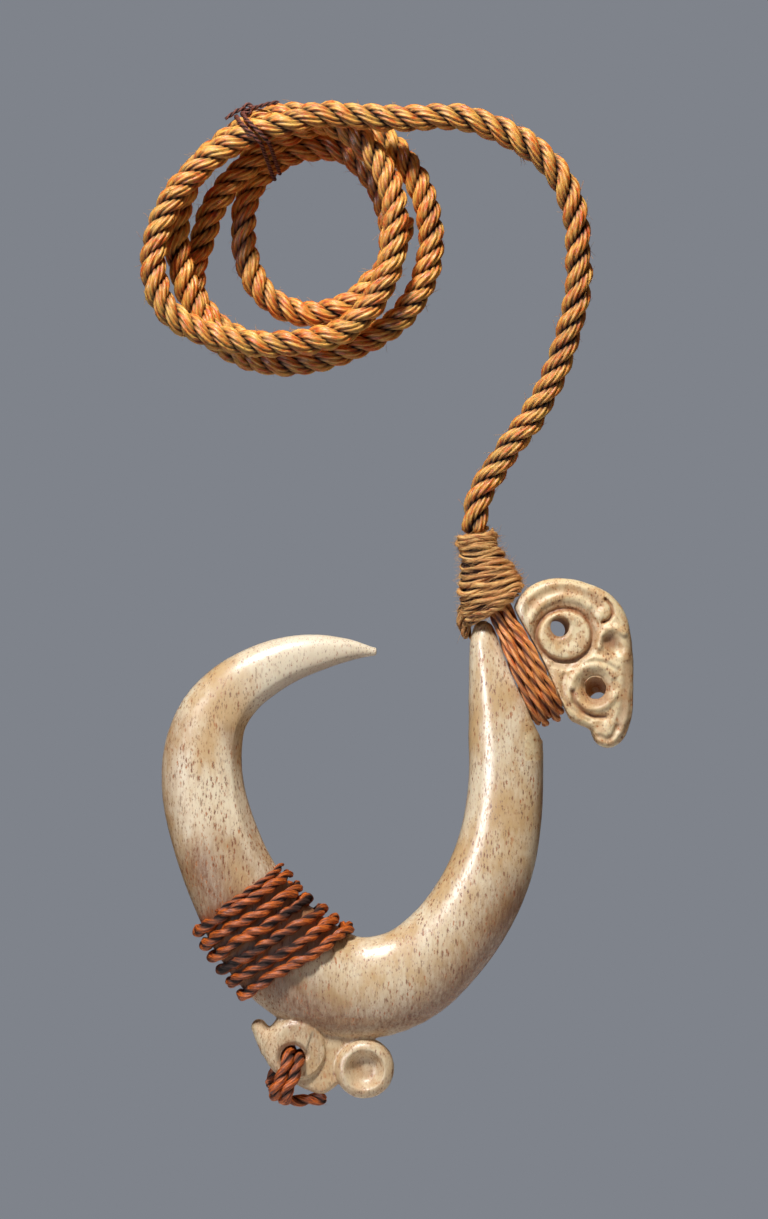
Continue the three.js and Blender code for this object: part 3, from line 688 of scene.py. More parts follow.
# %% Bait cord
LUG_EYE, BAIT_REACH, BAIT_HALF_DEPTH, BAIT_LEAN = (-6, -298.7), 14, 8.8, 24.9
BAIT_PITCH, BAIT_TURNS, BAIT_STEPS, BAIT_SQUARENESS, BAIT_LIFT = 3.65, 2, 24, 3.4, 0.6
BAIT_TAIL, BAIT_START = [(-4.4, 0, -313.6), (0.4, 0, -313), (5, 0, -313.1)], 10
bait_down = np.array([-math.sin(math.radians(BAIT_LEAN)), 0, -math.cos(math.radians(BAIT_LEAN))])
bait_across = np.array([-bait_down[2], 0, bait_down[0]])
bait_middle = np.array([LUG_EYE[0], 0, LUG_EYE[1]]) + bait_down * (BAIT_REACH / 2 - BAIT_LIFT)
bait_line = []
for part in np.arange(BAIT_TURNS * BAIT_STEPS + 1) / BAIT_STEPS:
    turn = part * 2 * math.pi
    low_part, deep_part = (squared(f(turn), BAIT_SQUARENESS) for f in (math.cos, math.sin))
    point = bait_middle + bait_down * (BAIT_REACH / 2 + BAIT_LIFT) * low_part
    point = point + bait_across * BAIT_PITCH * (part - BAIT_TURNS / 2)
    point[1] += BAIT_HALF_DEPTH * deep_part
    bait_line.append(point)
bait_line += [np.array(point) for point in BAIT_TAIL]
bait_route = smooth_line(bait_line, np.linspace(0, len(bait_line) - 1, 4 * len(bait_line)))
bait_tubes = laid(
    bait_route[BAIT_START:], step=0.6, plies=2, ply_radius=1.34, lay_radius=0.84, pitch=12, sides=26,
    yarns=7, yarn_depth=0.16, yarn_pitch=24, wander=0.35, loose=0.1, seed=60
)
bait_hairs = hairs(bait_tubes, count=60, length=1.8, thickness=0.045, seed=61)
bait = skin("bait_loop_cord", bait_tubes + bait_hairs)
settle(bait, "bait_loop", "bait_cord", "bait_cord")

# %% [markdown]
# ## The bone, roughed out
#
# The hook was cut from one thick bone: a shaft that narrows to the point and to the shank's tip,
# a flat head and a lug. It could be sculpted from a single block, but it is easier to follow when
# each form is made by itself. A voxel remesh then joins them all into one skin, and smoothing
# gives the soft inner corners that a carver's abrasive leaves.
#
# The shaft starts as a circle at the point. It is extruded ring by ring, and each ring is put at
# its station on the bone's curve.

# %% Shaft
SHAFT_SIDES, RINGS_PER_STATION = 48, 4
shaft_turns = (np.arange(SHAFT_SIDES) + 0.5) / SHAFT_SIDES * 2 * math.pi
ring_count = (len(HOOK_STATIONS) - 1) * RINGS_PER_STATION + 1
bpy.ops.object.select_all(action="DESELECT")
bpy.ops.mesh.primitive_circle_add(vertices=SHAFT_SIDES, radius=MM, fill_type="NGON")
shaft = bpy.context.object
bpy.ops.object.mode_set(mode="EDIT")
shaft_mesh = bmesh.from_edit_mesh(shaft.data)
order = shaft_mesh.verts.layers.int.new("order")
for vertex in shaft_mesh.verts:
    vertex[order] = vertex.index
for ring in range(ring_count):
    if ring:
        bpy.ops.mesh.extrude_region_move()
        shaft_mesh = bmesh.from_edit_mesh(shaft.data)
        order = shaft_mesh.verts.layers.int["order"]
    ring_points = bone_points(ring / RINGS_PER_STATION, shaft_turns, 0, worked=True) * MM
    for vertex in shaft_mesh.verts:
        if vertex.select:
            vertex.co = ring_points[vertex[order]]
bmesh.update_edit_mesh(shaft.data)
bpy.ops.mesh.select_all(action="SELECT")
bpy.ops.mesh.normals_make_consistent(inside=False)
bpy.ops.object.mode_set(mode="OBJECT")
print("shaft:", ring_count, "rings of", SHAFT_SIDES)

# %% [markdown]
# The head, the lug and the two rings are plates with a rounded rim. A filled circle takes the
# outline's shape and is extruded to the front. Insets that rise less and less round the rim.
# The back face is then treated in the same way.

# %% Plates with rounded rims
RIM_STEPS = 5


def plate(name, outline, half_depth, rounding):
    """Closed plate in the plane of the hook, from an outline in millimetres."""
    outline = np.asarray(outline, float)
    bpy.ops.object.select_all(action="DESELECT")
    bpy.ops.mesh.primitive_circle_add(vertices=len(outline), radius=MM, fill_type="NGON")
    made = bpy.context.object
    made.name = name
    for vertex, (x, z) in zip(made.data.vertices, outline):
        vertex.co = (x * MM, 0, z * MM)
    bpy.ops.object.mode_set(mode="EDIT")
    for side in (-1, 1):
        bpy.ops.mesh.select_all(action="DESELECT")
        bpy.ops.mesh.select_mode(type="FACE")
        shape = bmesh.from_edit_mesh(made.data)
        shape.normal_update()
        for face in shape.faces:
            face.select = len(face.verts) == len(outline) and abs(face.calc_center_median().y) < 1e-7
            if face.select and face.normal.y * side < 0:
                face.normal_flip()
        bmesh.update_edit_mesh(made.data)
        bpy.ops.mesh.extrude_region_move(
            TRANSFORM_OT_translate={"value": (0, side * (half_depth - rounding) * MM, 0)}
        )
        angles = np.linspace(0, math.pi / 2, RIM_STEPS + 1)
        for low, high in zip(angles[:-1], angles[1:]):
            bpy.ops.mesh.inset(
                thickness=rounding * (math.cos(low) - math.cos(high)) * MM,
                depth=rounding * (math.sin(high) - math.sin(low)) * MM,
            )
    bpy.ops.mesh.select_all(action="SELECT")
    bpy.ops.mesh.normals_make_consistent(inside=False)
    bpy.ops.object.mode_set(mode="OBJECT")
    return made


def closed_outline(points, count):
    """Evenly spaced points on a closed smooth curve, against the clock."""
    ring = np.array([points[-2], points[-1], *points, points[0], points[1]], float)
    places = np.linspace(2, len(points) + 2, 8 * len(points) + 1)
    line = smooth_line(np.insert(ring, 1, 0, axis=1), places)
    return evenly(line, along_route(line)[-1] / count)[:-1, [0, 2]][::-1]


def disc(middle, radius, count=48):
    angle = np.arange(count) / count * 2 * math.pi
    return np.stack([middle[0] + radius * np.cos(angle), middle[1] + radius * np.sin(angle)], axis=1)


HEAD_OUTLINE = [
    (67.6, -150.4), (70.6, -144.2), (76.5, -140.4), (83, -139.4), (91, -140.8), (99.3, -144.7),
    (104.4, -151), (106.8, -162), (107.1, -176), (106.5, -186), (103.6, -193.1), (99.6, -195.8),
    (95.7, -194.9), (94, -192.6), (93.2, -190), (90.3, -188.6), (86.6, -186.8), (82.6, -182.6),
    (80, -178), (77.6, -169), (73.5, -160.5),
]
LUG_OUTLINE = [
    (-7, -280), (-12.6, -287.8), (-16.4, -291.4), (-17, -295.8), (-15.2, -299.6), (-10.6, -304.3),
    (-6, -307.3), (0, -310.2), (4, -311.1), (7.4, -309.2), (11.8, -305.4), (18, -300), (21.5, -291),
    (14, -279),
]
PIERCED_RING, DISHED_RING = (-5.3, -296), (17.8, -302.6)
PIERCED_RING_RADIUS, DISHED_RING_RADIUS, RING_ROUNDING = 10.3, 9.8, 3.2
HEAD_HALF_DEPTH, RING_HALF_DEPTH, LUG_HALF_DEPTH = 7, 6.5, 3.5
head = plate("head", closed_outline(HEAD_OUTLINE, 90), HEAD_HALF_DEPTH, 2.9)
lug = plate("lug", closed_outline(LUG_OUTLINE, 68), LUG_HALF_DEPTH, 1.8)
pierced_ring = plate("pierced_ring", disc(PIERCED_RING, PIERCED_RING_RADIUS), RING_HALF_DEPTH,
                     RING_ROUNDING)
dished_ring = plate("dished_ring", disc(DISHED_RING, DISHED_RING_RADIUS), RING_HALF_DEPTH,
                    RING_ROUNDING)

# %% [markdown]
# The beak at the lug's left is a small cone whose end is rounded off. The neck that the strands go
# round is a cylinder between head and shank.

# %% Beak and neck
BEAK_ROOT, BEAK_TIP, BEAK_ROOT_RADIUS, BEAK_TIP_RADIUS = (-12.8, -296), (-17.3, -289), 4.3, 2.7
NECK_HALF_LENGTH = 8.1


def rod(kind, start, end, **sizes):
    """A primitive with its axis from start to end, both in the plane of the hook."""
    run = np.array(end, float) - start
    middle = (np.array(start) + end) / 2
    bpy.ops.object.select_all(action="DESELECT")
    kind(
        vertices=32, depth=float(np.linalg.norm(run)) * MM,
        location=(middle[0] * MM, 0, middle[1] * MM),
        rotation=(0, math.atan2(run[0], run[1]), 0), **sizes
    )
    bpy.ops.object.transform_apply()
    return bpy.context.object


beak = rod(bpy.ops.mesh.primitive_cone_add, BEAK_ROOT, BEAK_TIP,
           radius1=BEAK_ROOT_RADIUS * MM, radius2=BEAK_TIP_RADIUS * MM)
bpy.ops.mesh.primitive_uv_sphere_add(
    segments=24, ring_count=16, radius=BEAK_TIP_RADIUS * MM,
    location=(BEAK_TIP[0] * MM, 0, BEAK_TIP[1] * MM)
)
beak_end = bpy.context.object
bpy.ops.object.transform_apply()
neck_ends = [by_neck(s, 0, 0)[[0, 2]] for s in (-NECK_HALF_LENGTH, NECK_HALF_LENGTH)]
neck = rod(bpy.ops.mesh.primitive_cylinder_add, *neck_ends, radius=NECK_RADIUS * MM)

# %% [markdown]
# Now the cuts: the slot that the snood runs in, the two eyes of the head and the eye of the lug.
# Each is a Boolean modifier with its cutter, applied at once. The lower eye was drilled at an
# angle, so its cutter is tilted.

# %% Slot and eyes
def only(*pieces):
    """Select these pieces alone. The first is the active one."""
    bpy.ops.object.select_all(action="DESELECT")
    for piece in pieces:
        piece.select_set(True)
    bpy.context.view_layer.objects.active = pieces[0]


def applied(piece, kind, **settings):
    """Give a piece a modifier with these settings and apply it at once."""
    only(piece)
    modifier = piece.modifiers.new(kind.lower(), kind)
    for name, value in settings.items():
        setattr(modifier, name, value)
    bpy.ops.object.modifier_apply(modifier=modifier.name)


def cut(targets, cutter):
    for target in targets:
        applied(target, "BOOLEAN", operation="DIFFERENCE", solver="EXACT", object=cutter)
    bpy.data.objects.remove(cutter)


def drill(place, radius, tilt=(0, 0)):
    bpy.ops.mesh.primitive_cylinder_add(
        vertices=48, radius=radius * MM, depth=40 * MM, location=(place[0] * MM, 0, place[1] * MM),
        rotation=(math.pi / 2 + math.radians(tilt[1]), 0, math.radians(tilt[0]))
    )
    bpy.ops.object.transform_apply()
    return bpy.context.object


SLOT = [
    (-5.65, -13), (5.85, -13), (5.85, 13), (4.6, 28), (4.6, 44), (-4.4, 44), (-4.4, 27), (-5.65, 12),
]
SLOT_HALF_DEPTH, SLOT_ROUNDING = 21, 0.5
UPPER_EYE, LOWER_EYE = (82.2, -156.2), (95.4, -178.5)
UPPER_EYE_RADIUS, LOWER_EYE_RADIUS, LUG_EYE_RADIUS = 3.2, 3.5, 4.2
slot_outline = [by_neck(s, h, 0)[[0, 2]] for s, h in SLOT]
cut([head, shaft], plate("slot", slot_outline, SLOT_HALF_DEPTH, SLOT_ROUNDING))
cut([head], drill(UPPER_EYE, UPPER_EYE_RADIUS, tilt=(5, -6)))
cut([head], drill(LOWER_EYE, LOWER_EYE_RADIUS, tilt=(-8, -23)))
cut([lug, pierced_ring], drill(LUG_EYE, LUG_EYE_RADIUS))

# %% Join and remesh
VOXEL = 0.34
only(shaft, head, lug, pierced_ring, dished_ring, beak, beak_end, neck)
bpy.ops.object.join()
bone = shaft
bone.name = "bone_hook"
bone.data.attributes.remove(bone.data.attributes["order"])
applied(bone, "REMESH", mode="VOXEL", voxel_size=VOXEL * MM)
applied(bone, "SMOOTH", factor=0.5, iterations=5)
print("bone skin:", len(bone.data.polygons), "faces")

# %% [markdown]
# ## Carving
#
# The carved lines of the head and the lug are strokes of a gouge: a line of points, a half width,
# a depth and a fullness. A negative depth leaves a ridge, and more fullness makes the floor of a
# cut flatter and its walls steeper. Both faces get them. The strokes move the skin's points in or
# out, which is quicker and softer than cutting each one. What a stroke takes away is kept as an
# attribute: old bone stays darker in its grooves, and the same value also paints the shade that
# falls in them.

# %% Strokes
def ring_line(middle, radius, start=0, end=360, squash=1.0):
    angle = np.radians(np.linspace(start, end, 28))
    return [(middle[0] + radius * math.cos(a), middle[1] + squash * radius * math.sin(a)) for a in angle]


HEAD_LEFT, HEAD_FOOT, LUG_TOP = 71, -200, -285
STROKES = [
    (ring_line((84.2, -158.3), 9.3, squash=0.93), 1.2, 1.3, 2.4),
    (ring_line((84.2, -157.9), 10.2, squash=0.95), 1.9, 0.8, 2),
    (ring_line((84.2, -158.3), 6.2, squash=0.93), 3, -0.35, 2),
    (ring_line((84.4, -158.1), 12.6, 10, 165), 1.5, -0.25, 2),
    (ring_line((84.2, -157.9), 14.9, 40, 150), 2.2, 0.5, 2),
    (ring_line((82.4, -155.9), 3.3), 0.9, 0.45, 2),
    ([(97.8, -146.4), (99.7, -148.5), (100.2, -151.2), (99, -153.2), (97, -154)], 0.9, 1.3, 2),
    ([(96.7, -151.8), (96.5, -151)], 2.4, -0.6, 2),
    ([(93.2, -149.8), (93.4, -152.6), (95, -154.6)], 1.1, 0.4, 2),
    ([(95.6, -162), (96, -158.6), (98.4, -156.2), (101.4, -156), (104, -157.8)], 1.9, -0.9, 2),
    ([(99.2, -160.2), (101.4, -163)], 3.2, 1.6, 2),
    ([(90.6, -166.4), (94.4, -165.8), (98.4, -166.4), (101.6, -168.4)], 1.4, -0.6, 2),
    ([(80.6, -168), (84.6, -169), (88.6, -167.6)], 1.6, 0.7, 2),
    ([(104.9, -168), (104.4, -176), (103.6, -183), (101.8, -189)], 2.1, 0.6, 2),
    ([(109.8, -157), (108.4, -168), (107.9, -177), (107, -187), (103.8, -194)], 3.6, 0.8, 2),
    ([(101.8, -188.6), (100.4, -191.6), (98.2, -193), (95.8, -191.8)], 1.4, 0.6, 2),
    ([(94, -175.4), (94.4, -176.4)], 6.1, 4.4, 1.8),
    (ring_line((93.9, -175.6), 7.3, 30, 340), 1.9, -0.75, 2),
    ([(86.9, -177), (87.6, -180.6), (90.2, -183.6), (94, -185.3), (97.8, -185.4)], 1.4, 1.25, 2),
    ([(84, -171.4), (83.3, -175), (83.9, -179), (86.4, -182.4), (89.4, -184.6), (92.6, -186.6)],
     1, 0.45, 2),
    ([(98.8, -188.6), (98.4, -190)], 2.9, -0.5, 2),
    (ring_line(DISHED_RING, 0.2), 6.8, 3.5, 4.2),
    (ring_line(LUG_EYE, 3.8, 10, 225), 2.2, 1.1, 2),
]


def from_stroke(points, line):
    """Distance of points of the hook's plane from a line of points."""
    least = np.full(len(points), 1e9)
    for start, end in zip(np.array(line[:-1], float), np.array(line[1:], float)):
        run = end - start
        part = np.clip((points - start) @ run / max(run @ run, 1e-9), 0, 1)
        least = np.minimum(least, np.linalg.norm(points - start - part[:, None] * run, axis=1))
    return least


def carved_depth(points):
    depth, stain_and_shade = np.zeros(len(points)), np.zeros(len(points))
    for line, half_width, cut_depth, fullness in STROKES:
        low = np.min(line, axis=0) - half_width
        high = np.max(line, axis=0) + half_width
        near = np.flatnonzero(np.all((points > low) & (points < high), axis=1))
        across = np.clip(from_stroke(points[near], line) / half_width, 0, 1)
        profile = (1 - across**fullness) ** 2
        depth[near] += cut_depth * profile
        # the groove's stain: brown that old bone keeps there, and painted shade in the cut
        shade = min(1, max(cut_depth, 0) / 1.5) * (0.15 if half_width > 2.6 else 1)
        stain_and_shade[near] = np.maximum(stain_and_shade[near], shade * profile)
    return depth, stain_and_shade


def in_hand_work(plane):
    """Where the head and the lug are, the only parts that were carved."""
    return (plane[:, 0] > HEAD_LEFT) & (plane[:, 1] > HEAD_FOOT) | (plane[:, 1] < LUG_TOP)


def point_vectors(piece, kind, scale=1.0):
    """A vector of each point of a piece: co for its place, normal for where it faces."""
    values = np.empty(len(piece.data.vertices) * 3, np.float32)
    piece.data.vertices.foreach_get(kind, values)
    return values.reshape(-1, 3).astype(float) * scale


# %% [markdown]
# Beside the strokes, the pierced ring has a facet: a shallow slope that starts at a line right of
# its eye. Walls of the drilled holes face sideways and wouldn't be lowered with the face round
# them, so points near a hole are also kept under the carved face. Last come faint tool marks,
# strong where hand work shows and weak on the polished shaft.

# %% Carve the bone
FACET_ACROSS, FACET_START, FACET_SLOPE, FACET_HEIGHT, FACET_TOP = (0.949, -0.314), 3.3, 0.16, 5.9, -287
NEAR_HOLE, TOOL_MARK_SIZE, TOOL_MARK_DEPTH, SHAFT_MARKS = 6, 3.2, 0.32, 0.3
places_mm = point_vectors(bone, "co", 1 / MM)
normals = point_vectors(bone, "normal")
facing = smoothstep(np.abs(normals[:, 1]), 0.25, 0.8)
plane = places_mm[:, [0, 2]]
depth, _ = carved_depth(plane)
carvable = in_hand_work(plane)
depth = np.where(carvable, depth, 0)
from_ring = np.linalg.norm(plane - PIERCED_RING, axis=1)
aside = (plane - LUG_EYE) @ FACET_ACROSS - FACET_START
facet = (from_ring < PIERCED_RING_RADIUS) & (aside > 0) & (plane[:, 1] < FACET_TOP)
slope = np.clip(np.abs(places_mm[:, 1]) - FACET_HEIGHT + FACET_SLOPE * aside, 0, 2)
depth += np.where(facet, slope, 0)
places_mm[:, 1] -= np.sign(normals[:, 1]) * depth * facing
face_depth = np.where(plane[:, 1] > HEAD_FOOT, HEAD_HALF_DEPTH, RING_HALF_DEPTH)
from_holes = [np.linalg.norm(plane - eye, axis=1) for eye in (UPPER_EYE, LOWER_EYE, LUG_EYE)]
by_eye = np.min(from_holes, axis=0) < NEAR_HOLE
lowered = np.sign(places_mm[:, 1]) * np.minimum(np.abs(places_mm[:, 1]), face_depth - depth)
places_mm[:, 1] = np.where(by_eye, lowered, places_mm[:, 1])
bone.data.vertices.foreach_set("co", (places_mm * MM).astype(np.float32).ravel())
bone.data.update()
tool_marks = bpy.data.textures.new("tool_marks", "CLOUDS")
tool_marks.noise_scale = TOOL_MARK_SIZE * MM
hand_cut = bone.vertex_groups.new(name="hand_cut")
hand_cut.add(np.flatnonzero(carvable).tolist(), 1.0, "REPLACE")
hand_cut.add(np.flatnonzero(~carvable).tolist(), SHAFT_MARKS, "REPLACE")
applied(bone, "DISPLACE", texture=tool_marks, strength=TOOL_MARK_DEPTH * MM, mid_level=0.5,
        vertex_group="hand_cut")
applied(bone, "SMOOTH", factor=0.5, iterations=1)
print("carved:", int((depth != 0).sum()), "points moved, deepest", round(depth.max(), 2), "mm")

# %% [markdown]
# The skin has far more faces than the smooth shaft needs. Decimate takes them where the surface is
# plain and leaves them in the carving. Then each point keeps what its finish has to know: stain and
# painted shade in the grooves, painted shade in the eyes and under the lashing, patina with painted
# shade on the undersides and right-hand edges, wear with painted light on the top of the point,
# the pitted face of the carving and the rough outside of the leg.

# %% Thin the skin and keep the stain and painted light and shade
# patina lines that also paint shade, most along the underside of the bend, the lower edge of the point
# leg and the right-hand edges: a line, a reach in mm and a strength
PATINA_AND_SHADE_LINES = [
    ([(-36, -236), (-28, -254), (-12, -274), (4, -288), (22, -292), (42, -284), (58, -268), (70, -248)],
     18, 1),
    ([(78.5, -236), (79, -215), (78.5, -196), (72, -178)], 6, 0.7),
    ([(-27, -190), (-22, -205), (-20, -222), (-12, -240)], 5, 0.55),
    ([(-30, -228), (-16, -236)], 12, 0.5),
    ([(16, -166.8), (4, -170), (-6, -174), (-14, -180), (-20, -190)], 4, 0.6),
    ([(107, -160), (107.4, -176), (105, -190)], 4.5, 0.6),
    ([(-47, -188), (-50.5, -208), (-47, -232)], 11, 0.5),
]
# painted shade in and round the drilled eyes and the nostril hollow: a middle and a reach in mm
EYE_SHADE = [
    (UPPER_EYE, 3.8), ((94.4, -176), 4.6), (LOWER_EYE, 4), ((99.4, -160.6), 2.9), (LUG_EYE, 4.6),
]
BONE_TRIANGLES, LUG_PATINA_AND_SHADE = 190000, 0.3
triangles = sum(len(p.vertices) - 2 for p in bone.data.polygons)
if triangles > BONE_TRIANGLES:
    applied(bone, "DECIMATE", ratio=BONE_TRIANGLES / triangles)
bone.data.shade_smooth()
places_mm = point_vectors(bone, "co", 1 / MM)
plane = places_mm[:, [0, 2]]
_, stain_and_shade = carved_depth(plane)
carvable = in_hand_work(plane)
# painted shade in the eyes
painted_eye_shade = [np.exp(-((np.linalg.norm(plane - eye, axis=1) / reach) ** 4)) for eye, reach in EYE_SHADE]
stain_and_shade = np.where(carvable, np.maximum(stain_and_shade, 0.8 * np.max(painted_eye_shade, axis=0)), 0)
# painted shade on the bone between the turns of the lashing
wound = (places_mm @ down - first_plane) / LASHING_PITCH
painted_lashing_shade = smoothstep(wound, -0.9, 0.1) * (1 - smoothstep(wound, LASHING_TURNS - 0.4, LASHING_TURNS + 0.5))
stain_and_shade = np.where(plane[:, 0] < 12, np.maximum(stain_and_shade, 0.95 * painted_lashing_shade), stain_and_shade)
# lighter at the top of the point leg: wear, and painted light where the key lamp falls
worn_and_lit = smoothstep(plane[:, 0], -34, -8) * smoothstep(plane[:, 1], -188, -176) * (plane[:, 0] < 35)
worn_and_lit = np.maximum(worn_and_lit, 0.15 * smoothstep(-plane[:, 1], 284, 290))
rough = smoothstep(-plane[:, 0], 4, 16) * smoothstep(-plane[:, 1], 176, 190)
patina_and_shade = np.max([
    strength * (1 - smoothstep(from_stroke(plane, line) / reach)) for line, reach, strength in PATINA_AND_SHADE_LINES
], axis=0)
# the lug is darkened evenly by the same patina and painted shade
patina_and_shade = LUG_PATINA_AND_SHADE + (patina_and_shade - LUG_PATINA_AND_SHADE) * smoothstep(plane[:, 1], -295, -286)
pitted = carvable * np.where(plane[:, 1] > HEAD_FOOT, 1, 0.6)
tones = {"worn_and_lit": worn_and_lit, "patina_and_shade": patina_and_shade, "pitted": pitted, "rough": rough, "stain_and_shade": stain_and_shade}
for name, values in tones.items():
    keep(bone.data, name, values)
settle(bone, "hook", "bone", "hook_body")

# %% [markdown]
# ## A small language for finishes
#
# A finish is a tree of nodes, and maths between them is easier to read as Python. A Wire holds one
# output socket, and + - * on it add Math nodes. A Finish makes any other node from its type, its
# settings and what goes into its sockets.

# %% Wire and Finish
class Wire:
    """An output socket that Python's operators work on."""

    def __init__(self, finish, socket):
        self.finish, self.socket = finish, socket

    def maths(self, operation, first, second=0.0, clamp=False):
        settings = {"operation": operation, "use_clamp": clamp}
        return self.finish.node("Math", settings, {0: first, 1: second})

    def __add__(self, other):
        return self.maths("ADD", self, other)

    def __sub__(self, other):
        return self.maths("SUBTRACT", self, other)

    def __rsub__(self, other):
        return self.maths("SUBTRACT", other, self)

    def __mul__(self, other):
        return self.maths("MULTIPLY", self, other)

    __radd__, __rmul__ = __add__, __mul__

    def clamped(self):
        return self.maths("ADD", self, 0.0, clamp=True)


class Finish:
    """The nodes of a material or a world, under construction."""

    def __init__(self, owner):
        owner.use_nodes = True
        self.owner, self.tree = owner, owner.node_tree
        self.tree.nodes.clear()

    def node(self, kind, settings, sockets, output=0):
        made = self.tree.nodes.new("ShaderNode" + kind)
        for name, value in settings.items():
            setattr(made, name, value)
        for name, value in sockets.items():
            if isinstance(value, Wire):
                self.tree.links.new(value.socket, made.inputs[name])
            else:
                made.inputs[name].default_value = value
        return Wire(self, made.outputs[output]) if len(made.outputs) else None

    def mapped(self, vector, scale, rotation=(0, 0, 0)):
        return self.node("Mapping", {}, {"Vector": vector, "Scale": scale, "Rotation": rotation})

    def attribute(self, name, output=2):
        return self.node("Attribute", {"attribute_name": name}, {}, output)

    def noise(self, vector, detail=2.0, roughness=0.5):
        return self.node("TexNoise", {}, {"Vector": vector, "Scale": 1.0, "Detail": detail,
                                          "Roughness": roughness})

    def between(self, value, low, high):
        """value turned into 0 at low and 1 at high, with soft ends."""
        return self.node("MapRange", {"interpolation_type": "SMOOTHSTEP"},
                         {"Value": value, "From Min": low, "From Max": high})

    def mix(self, share, first, second):
        return self.node("Mix", {"data_type": "RGBA"}, {0: share, 6: first, 7: second}, 2)

    def bump(self, height, strength, distance):
        return self.node("Bump", {}, {"Height": height, "Strength": strength, "Distance": distance * MM})

    def close(self, **sockets):
        shader = self.node("BsdfPrincipled", {}, {k.replace("_", " "): v for k, v in sockets.items()})
        self.node("OutputMaterial", {}, {"Surface": shader})
        return self.owner


def colour(red, green, blue):
    """A colour as a paint chart gives it, from 0 to 255, turned into what a shader takes."""
    def straight(v):
        v = v / 255
        return v / 12.92 if v <= 0.04045 else ((v + 0.055) / 1.055) ** 2.4
    return (straight(red), straight(green), straight(blue), 1.0)


# %% [markdown]
# ## Finish of plant fibre
#
# Rope, twine and strands are all plant fibre and differ in colour, gloss and how fine they are.
# The lines of their fibres follow the yarns, so the pattern reads the fibre attribute: two numbers
# for the place round the yarn and one along it. Stretching it along the yarn draws out the noise
# into lines. Deep in the lay the colour goes dark: painted shade, where light never gets there,
# with a little dust. Each finish has a light, a middle and a dark colour, then its roughness, the
# fineness of its lines, the size of its patches in mm, and how deep in the lay the painted shade
# is full.

# %% Fibre finishes
def fibre_finish(name, light, middle, dark, roughness, fineness, patches, depth=0.42):
    finish = Finish(bpy.data.materials.new(name))
    lie, crevice = finish.attribute("fibre", 1), finish.attribute("crevice")
    place = finish.node("TexCoord", {}, {}, 3)
    lines = finish.noise(finish.mapped(lie, (fineness, fineness, 0.35)), 4, 0.62)
    fine = finish.noise(finish.mapped(lie, (fineness * 2.6, fineness * 2.6, 0.8)), 3, 0.6)
    patch = finish.noise(finish.mapped(place, (1000 / patches,) * 3), 3, 0.55)
    tone = finish.between(lines * 0.6 + fine * 0.35 + patch * 0.14, 0.42, 0.63)
    base = finish.mix(tone, middle, light)
    streak = finish.between(fine, 0.54, 0.7) * 0.6
    base = finish.mix(streak, base, dark)
    # painted shade: deep in the lay the colour is mixed towards the dark colour
    painted_lay_shade = finish.between(crevice, 0.02, depth)
    base = finish.mix(painted_lay_shade * 0.97, base, dark)
    height = lines * 0.7 + fine * 0.5
    return finish.close(
        Base_Color=base,
        Roughness=(patch * 0.25 + painted_lay_shade * 0.5 + (roughness - 0.12)).clamped(),
        Normal=finish.bump(height, 0.9, 0.3),
        Specular_IOR_Level=0.5,
    )


def paint(piece, material):
    piece.data.materials.clear()
    piece.data.materials.append(material)


strands = [bpy.data.objects[f"strand_{k + 1}"] for k in range(STRAND_COUNT)]
for pieces, name, light, middle, dark, *rest in (
    ([rope], "rope_fibre", (255, 198, 98), (220, 88, 18), (34, 9, 2), 0.34, 2.6, 16),
    (strands, "strand_fibre", (255, 176, 96), (202, 82, 24), (72, 22, 6), 0.36, 2.2, 9, 0.55),
    ([whipping], "flax_fibre", (255, 212, 134), (196, 88, 28), (64, 24, 9), 0.54, 3, 6, 0.46),
    ([lashing, bait], "bait_fibre", (224, 114, 38), (100, 33, 8), (30, 9, 4), 0.4, 2.2, 7, 0.46),
    ([tie], "dark_fibre", (150, 82, 62), (94, 42, 33), (30, 12, 9), 0.5, 1.9, 6),
):
    material = fibre_finish(name, colour(*light), colour(*middle), colour(*dark), *rest)
    for piece in pieces:
        paint(piece, material)
    print(name, "on", len(pieces), "pieces")

# %% [markdown]
# ## Finish of the bone
#
# Old polished bone is cream with tan clouds, and the small channels that fed it show as brown
# dashes along the grain. Two Voronoi patterns that are stretched along the grain give the dashes:
# the distance to a cell's middle makes a spot, and a random number of the cell says whether there
# is one. Thin coats of colour then go over the cream, one after the other: clouds, grain, wear
# with painted light on the top of the point, the pitted carving, old patina with painted shade on
# the undersides and right-hand edges, and the stain with painted shade in the grooves, the eyes
# and under the lashing. The polish is dull where a pore opens.

# %% Bone finish
ALONG_GRAIN = (0, -math.radians(12), 0)


def dashes(finish, place, width, length, share, size):
    """Spots drawn out along the grain: width and length of a cell in mm, share of cells with one."""
    cells = finish.mapped(place, (1000 / width, 1000 / width, 1000 / length), ALONG_GRAIN)
    near = finish.node("TexVoronoi", {}, {"Vector": cells, "Scale": 1.0})
    tint = finish.node("TexVoronoi", {}, {"Vector": cells, "Scale": 1.0}, 1)
    chance = finish.node("SeparateColor", {}, {"Color": tint})
    there = finish.between(chance, 1 - share, 1.15 - share)
    return (1 - finish.between(near, size * 0.35, size)) * there


